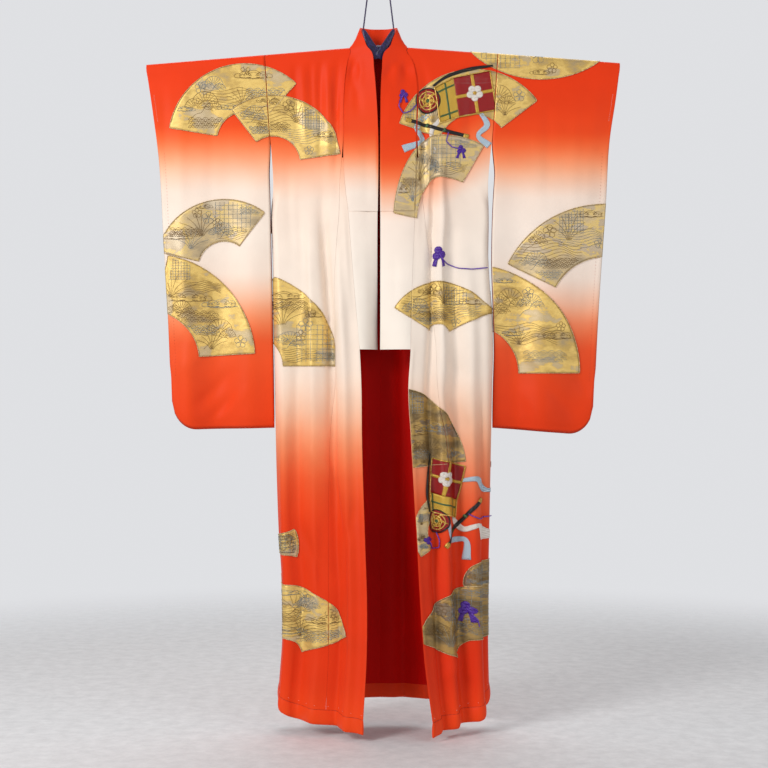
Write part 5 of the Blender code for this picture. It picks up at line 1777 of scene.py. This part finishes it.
def stitchTree():
    # short rounded stitches, evenly spaced along lines of edges
    tree, start, end = newTree("stitches along lines", [
        ("Pitch", "NodeSocketFloat"), ("Length", "NodeSocketFloat"),
        ("Radius", "NodeSocketFloat"), ("Finish", "NodeSocketMaterial"),
    ])
    line = addNode(tree, "GeometryNodeMeshToCurve", inputs={"Mesh": start.outputs["Geometry"]})
    spaced = addNode(
        tree, "GeometryNodeResampleCurve", {"mode": "LENGTH"},
        {"Curve": line.outputs["Curve"], "Length": start.outputs["Pitch"]},
    )
    ball = addNode(
        tree, "GeometryNodeMeshIcoSphere", inputs={"Radius": 1.0, "Subdivisions": 1}
    )
    size = addNode(
        tree, "ShaderNodeCombineXYZ",
        inputs={"X": start.outputs["Length"], "Y": start.outputs["Radius"],
                "Z": start.outputs["Radius"]},
    )
    along = addNode(tree, "GeometryNodeInputTangent")
    turned = addNode(
        tree, "FunctionNodeAlignRotationToVector", {"axis": "X"},
        {"Vector": along.outputs["Tangent"]},
    )
    stitches = addNode(
        tree, "GeometryNodeInstanceOnPoints",
        inputs={"Points": spaced.outputs["Curve"], "Instance": ball.outputs["Mesh"],
                "Rotation": turned.outputs["Rotation"], "Scale": size.outputs["Vector"]},
    )
    return endTree(tree, start, end, stitches.outputs["Instances"])


def grown(name, lines, tree, values):
    # the lines as edges, run through a tree and made a plain mesh
    mesh = bpy.data.meshes.new(name)
    edges, first = [], 0
    for line in lines:
        edges += [(first + k, first + k + 1) for k in range(len(line) - 1)]
        first += len(line)
    mesh.from_pydata(np.concatenate(lines).tolist(), edges, [])
    piece = bpy.data.objects.new(name, mesh)
    bpy.context.scene.collection.objects.link(piece)
    modifier = piece.modifiers.new("grown", "NODES")
    modifier.node_group = tree
    for socket in tree.interface.items_tree:
        if socket.in_out == "INPUT" and socket.name in values:
            modifier[socket.identifier] = values[socket.name]
    graph = bpy.context.evaluated_depsgraph_get()
    made = bpy.data.meshes.new_from_object(piece.evaluated_get(graph))
    piece.modifiers.clear()
    piece.data = made
    made.shade_smooth()
    return piece


def outsideLine(name, rows, columns, lift=laid["stitchLift"]):
    # a line on the outside of a cloth, along a row or down a column of its grid
    cloth = cloths[name]
    points, normals = cloth["points"][rows, columns], cloth["normals"][rows, columns]
    return points + normals * (cut["cloth"] / 2 + lift)


for name in sides:
    for piece, row, columns in (
        (f"body_{name}", -1, slice(None)), (f"okumi_{name}", -1, slice(None)),
        (f"body_{name}", 0, slice(3, None)),
    ):
        line = outsideLine(piece, row, columns, 0.0004) + (0, 0, 0.001)
        threads.setdefault((f"seams_{piece}", "redThread"), []).append(line)

threadSizes = {  # radius and sides
    "fan_edges": (0.0009, 4), "fan_lines": (0.00055, 3), "cords": (0.0016, 5),
    "seams": (0.0006, 4),
}
lineTree, dotTree = threadTree(), stitchTree()
for (label, finish), lines in threads.items():
    cloth = clothUnder(label)
    radius, count = threadSizes[label[:-len(cloth) - 1]]
    piece = grown(
        f"{label}_{finish}", lines, lineTree,
        {"Radius": radius, "Sides": count, "Finish": threadFinishes[finish]},
    )
    carried.setdefault(cloth, []).append(piece)


stitching = []  # cloth, finish, pitch, stitch half length, radius and its lines
for name in sides:
    sleeve, body, panel = f"sleeve_{name}", f"body_{name}", f"okumi_{name}"
    top, last = cloths[sleeve]["top"], len(cloths[sleeve]["points"])
    stitching += [
        (sleeve, "whiteThread", .0055, .0012, .0005, [
            outsideLine(sleeve, slice(top + 14, top + 22), -3),
        ]),
        (sleeve, "redThread", .0090, .0020, .0004, [
            outsideLine(sleeve, slice(top + 30, last - 12), -4),
            outsideLine(sleeve, slice(12, top - 30), -4),
        ]),
        (body, "whiteThread", .0300, .0011, .0005, [
            outsideLine(body, -2, slice(3, None)), outsideLine(body, 1, slice(6, -2)),
        ]),
        (panel, "whiteThread", .0300, .0011, .0005, [outsideLine(panel, -2, slice(1, -1))]),
    ]
for name, finish, pitch, half, radius, lines in stitching:
    piece = grown(
        f"stitches_{name}_{finish}", lines, dotTree,
        {"Pitch": pitch, "Length": half, "Radius": radius, "Finish": threadFinishes[finish]},
    )
    carried.setdefault(name, []).append(piece)
print("threads and stitches grown")


# The cloth pieces

def shell(name, cloth, thickness, lift, finishes, columns=slice(None)):
    points, normals = cloth["points"][:, columns], cloth["normals"][:, columns]
    high, wide = points.shape[:2]
    count = high * wide
    outer = gridFaces(high, wide)
    k = np.arange(count).reshape(high, wide)
    edge = np.concatenate([k[0, :-1], k[:-1, -1], k[-1, :0:-1], k[:0:-1, 0]])
    a, b, c = points[0, 0], points[0, 1], points[1, 0]
    if np.dot(np.cross(b - a, c - a), normals[0, 0]) < 0:
        outer, edge = outer[:, ::-1], edge[::-1]
    onward = np.roll(edge, -1)
    rim = np.stack([onward, edge, edge + count, onward + count], axis=1)
    faces = np.concatenate([outer, outer[:, ::-1] + count, rim])
    slots = np.concatenate([np.zeros(len(outer)), np.ones(len(outer)), np.zeros(len(rim))])
    both = [points + normals * (lift + way * thickness / 2) for way in (1, -1)]
    uv = np.tile(flatPlaces(points).reshape(-1, 2), (2, 1))
    return newPiece(name, np.concatenate(both).reshape(-1, 3), faces, finishes, uv, slots)


def declare(piece, node):
    standFor(piece, node)
    onIt = carried.get(node, [])
    for laidPiece in onIt:
        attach(laidPiece, "root")


for name in sides:
    body = cloths[f"body_{name}"]
    finishes = [silks[f"body_{name}"], redLining]
    piece = shell(f"silk_body_{name}", body, cut["cloth"], 0, finishes)
    declare(piece, f"body_{name}")
    piece = shell(f"silk_okumi_{name}", cloths[f"okumi_{name}"], cut["cloth"], 0, finishes)
    declare(piece, f"okumi_{name}")
    endRow = body["where"][len(stations["back"]) - 1] + 1
    inner = {key: body[key][:endRow].copy() for key in ("points", "normals")}
    toSide = inner["points"][:, -2] - inner["points"][:, -1]
    toSide /= np.linalg.norm(toSide, axis=1)[:, None]
    inner["points"][:, -1] -= toSide * 0.0003
    lift = -(cut["cloth"] + cut["lining"]) / 2 - cut["seamGap"]
    piece = shell(
        f"red_lining_{name}", inner, cut["lining"], lift, [redLining, redLining],
        columns=slice(4, None),
    )
    declare(piece, f"lining_{name}")


def sleevePiece(name, cloth, finish):
    points = cloth["points"]
    high, wide = points.shape[:2]
    faces = gridFaces(high, wide)
    a, b, c = points[high // 4, 5], points[high // 4, 6], points[high // 4 + 1, 5]
    if np.cross(b - a, c - a)[1] < 0:  # a quarter of the way along lies on the back layer
        faces = faces[:, ::-1]
    piece = newPiece(
        name, points.reshape(-1, 3), faces, [finish, redLining],
        flatPlaces(points).reshape(-1, 2), sharpAngle=None,
    )
    bm = bmesh.new()
    bm.from_mesh(piece.data)
    bmesh.ops.remove_doubles(bm, verts=bm.verts[:], dist=0.00001)
    bm.to_mesh(piece.data)
    bm.free()
    wall = piece.modifiers.new("cloth", "SOLIDIFY")
    wall.thickness = cut["cloth"]
    wall.offset = 0
    wall.material_offset = 1
    return piece


for name in sides:
    piece = sleevePiece(f"silk_sleeve_{name}", cloths[f"sleeve_{name}"], silks[f"sleeve_{name}"])
    declare(piece, f"sleeve_{name}")
print("body, sleeves and linings made")


for node, flat in (("collar", (0.095, 2.00)), ("over_collar", (0.100, 1.20))):
    piece = shell(f"silk_{node}", cloths[node], cut["cloth"], 0, [silks["collar"]] * 2)
    declare(piece, node)


# The padded hem: a roll of wadding inside the turned-up silk

def hemPiece(name):
    body, panel = cloths[f"body_{name}"], cloths[f"okumi_{name}"]
    back = slice(-1, 2, -1)
    line, normals = [
        np.concatenate([body[key][0, back], body[key][-1], panel[key][-1]])
        for key in ("points", "normals")
    ]
    frontStart = len(body["points"][0, back])
    along = lengthsOf(line)
    share = np.clip((along - along[frontStart]) / (along[-1] - along[frontStart]), 0, 1)
    slim = 1 - 0.45 * fade(share, 0.85, 1.0)
    lumps = 1 + 0.06 * np.sin(along * 47) * np.sin(along * 19 + 1) + 0.03 * np.sin(along * 113)
    angles = np.linspace(0, 2 * math.pi, 24, endpoint=False)
    down = 0.5 - 0.5 * np.cos(angles)
    thick = cut["hemPad"] * np.sin(angles) * (0.55 + 0.45 * down)
    points = line[:, None] + normals[:, None] * (thick[None] * (slim * lumps)[:, None])[..., None]
    points[..., 2] -= cut["hemGap"] + cut["hemBand"] * down
    high, wide = points.shape[:2]
    around = np.linspace(0, 0.1, wide)
    uv = np.stack([np.repeat(along, wide), np.tile(around, high)], axis=1)
    # the hem takes its body's silk, whose last, brighter stop is painted light on the hem
    piece = newPiece(
        f"padded_hem_{name}", points.reshape(-1, 3), tubeFaces(high, wide),
        [silks[f"body_{name}"]], uv,
    )
    bm = bmesh.new()
    bm.from_mesh(piece.data)
    bmesh.ops.recalc_face_normals(bm, faces=bm.faces[:])
    bm.to_mesh(piece.data)
    bm.free()
    standFor(piece, f"hem_{name}")


for name in sides:
    hemPiece(name)
print("collars and hems made")


# The studio: a pale floor with a soft far edge, and large soft lights

studio = {
    "floor": -2.158, "floorReach": 3.4, "worldLight": 0.60, "worldSeen": 0.975,
    "lamps": [  # name, place, aim, width, power
        ("key", (-3.0, -3.3, 0.7), (0, 0, -1.0), 1.7, 128),
        ("fill", (3.0, -3.2, -0.2), (0, 0, -1.2), 2.6, 30),
        ("top", (0, 1.6, 1.8), (0, 0, -1.2), 2.6, 40),
    ],
}


def floorFinish():
    # painted concrete, pale and faintly mottled; it fades out towards its far edge
    made = fleckedFinish(
        "pale mottled floor", (22, 8, 0.72), [(0.35, "#D6D5D5"), (0.65, "#E6E5E5")],
        Roughness=0.6, Specular_IOR_Level=0.2,
    )
    tree = made.node_tree
    place = addNode(tree, "ShaderNodeTexCoord").outputs["Object"]
    away = addNode(tree, "ShaderNodeVectorMath", {"operation": "LENGTH"}, {0: place})
    clear = addNode(
        tree, "ShaderNodeMapRange", {"interpolation_type": "SMOOTHSTEP"},
        {"Value": away.outputs["Value"], "From Min": studio["floorReach"] * 0.45,
         "From Max": studio["floorReach"] * 0.98, "To Min": 1.0, "To Max": 0.0},
    )
    tree.links.new(clear.outputs["Result"], tree.nodes["Principled BSDF"].inputs["Alpha"])
    return made


def makeStudio():
    mesh = bpy.data.meshes.new("floor")
    bm = bmesh.new()
    bmesh.ops.create_circle(bm, cap_ends=True, segments=96, radius=studio["floorReach"])
    bm.to_mesh(mesh)
    bm.free()
    mesh.materials.append(floorFinish())
    floor = bpy.data.objects.new("floor", mesh)
    floor.location = (0, 0, studio["floor"])
    bpy.context.scene.collection.objects.link(floor)
    world = bpy.data.worlds.new("studio")
    world.use_nodes = True
    ground = world.node_tree.nodes["Background"]
    ground.inputs["Color"].default_value = linearColour("#E2E3E6")
    seen = addNode(world.node_tree, "ShaderNodeLightPath").outputs["Is Camera Ray"]
    strength = addNode(
        world.node_tree, "ShaderNodeMapRange",
        inputs={"Value": seen, "To Min": studio["worldLight"], "To Max": studio["worldSeen"]},
    )
    world.node_tree.links.new(strength.outputs["Result"], ground.inputs["Strength"])
    bpy.context.scene.world = world
    for name, place, aim, width, power in studio["lamps"]:
        lamp = bpy.data.lights.new(name, "AREA")
        lamp.shape = "DISK"
        lamp.size = width
        lamp.energy = power
        lit = bpy.data.objects.new(name, lamp)
        lit.location = place
        lit.rotation_mode = "QUATERNION"
        lit.rotation_quaternion = (Vector(aim) - Vector(place)).to_track_quat("-Z", "Y")
        bpy.context.scene.collection.objects.link(lit)
    bpy.context.scene.view_settings.view_transform = "Standard"


makeStudio()
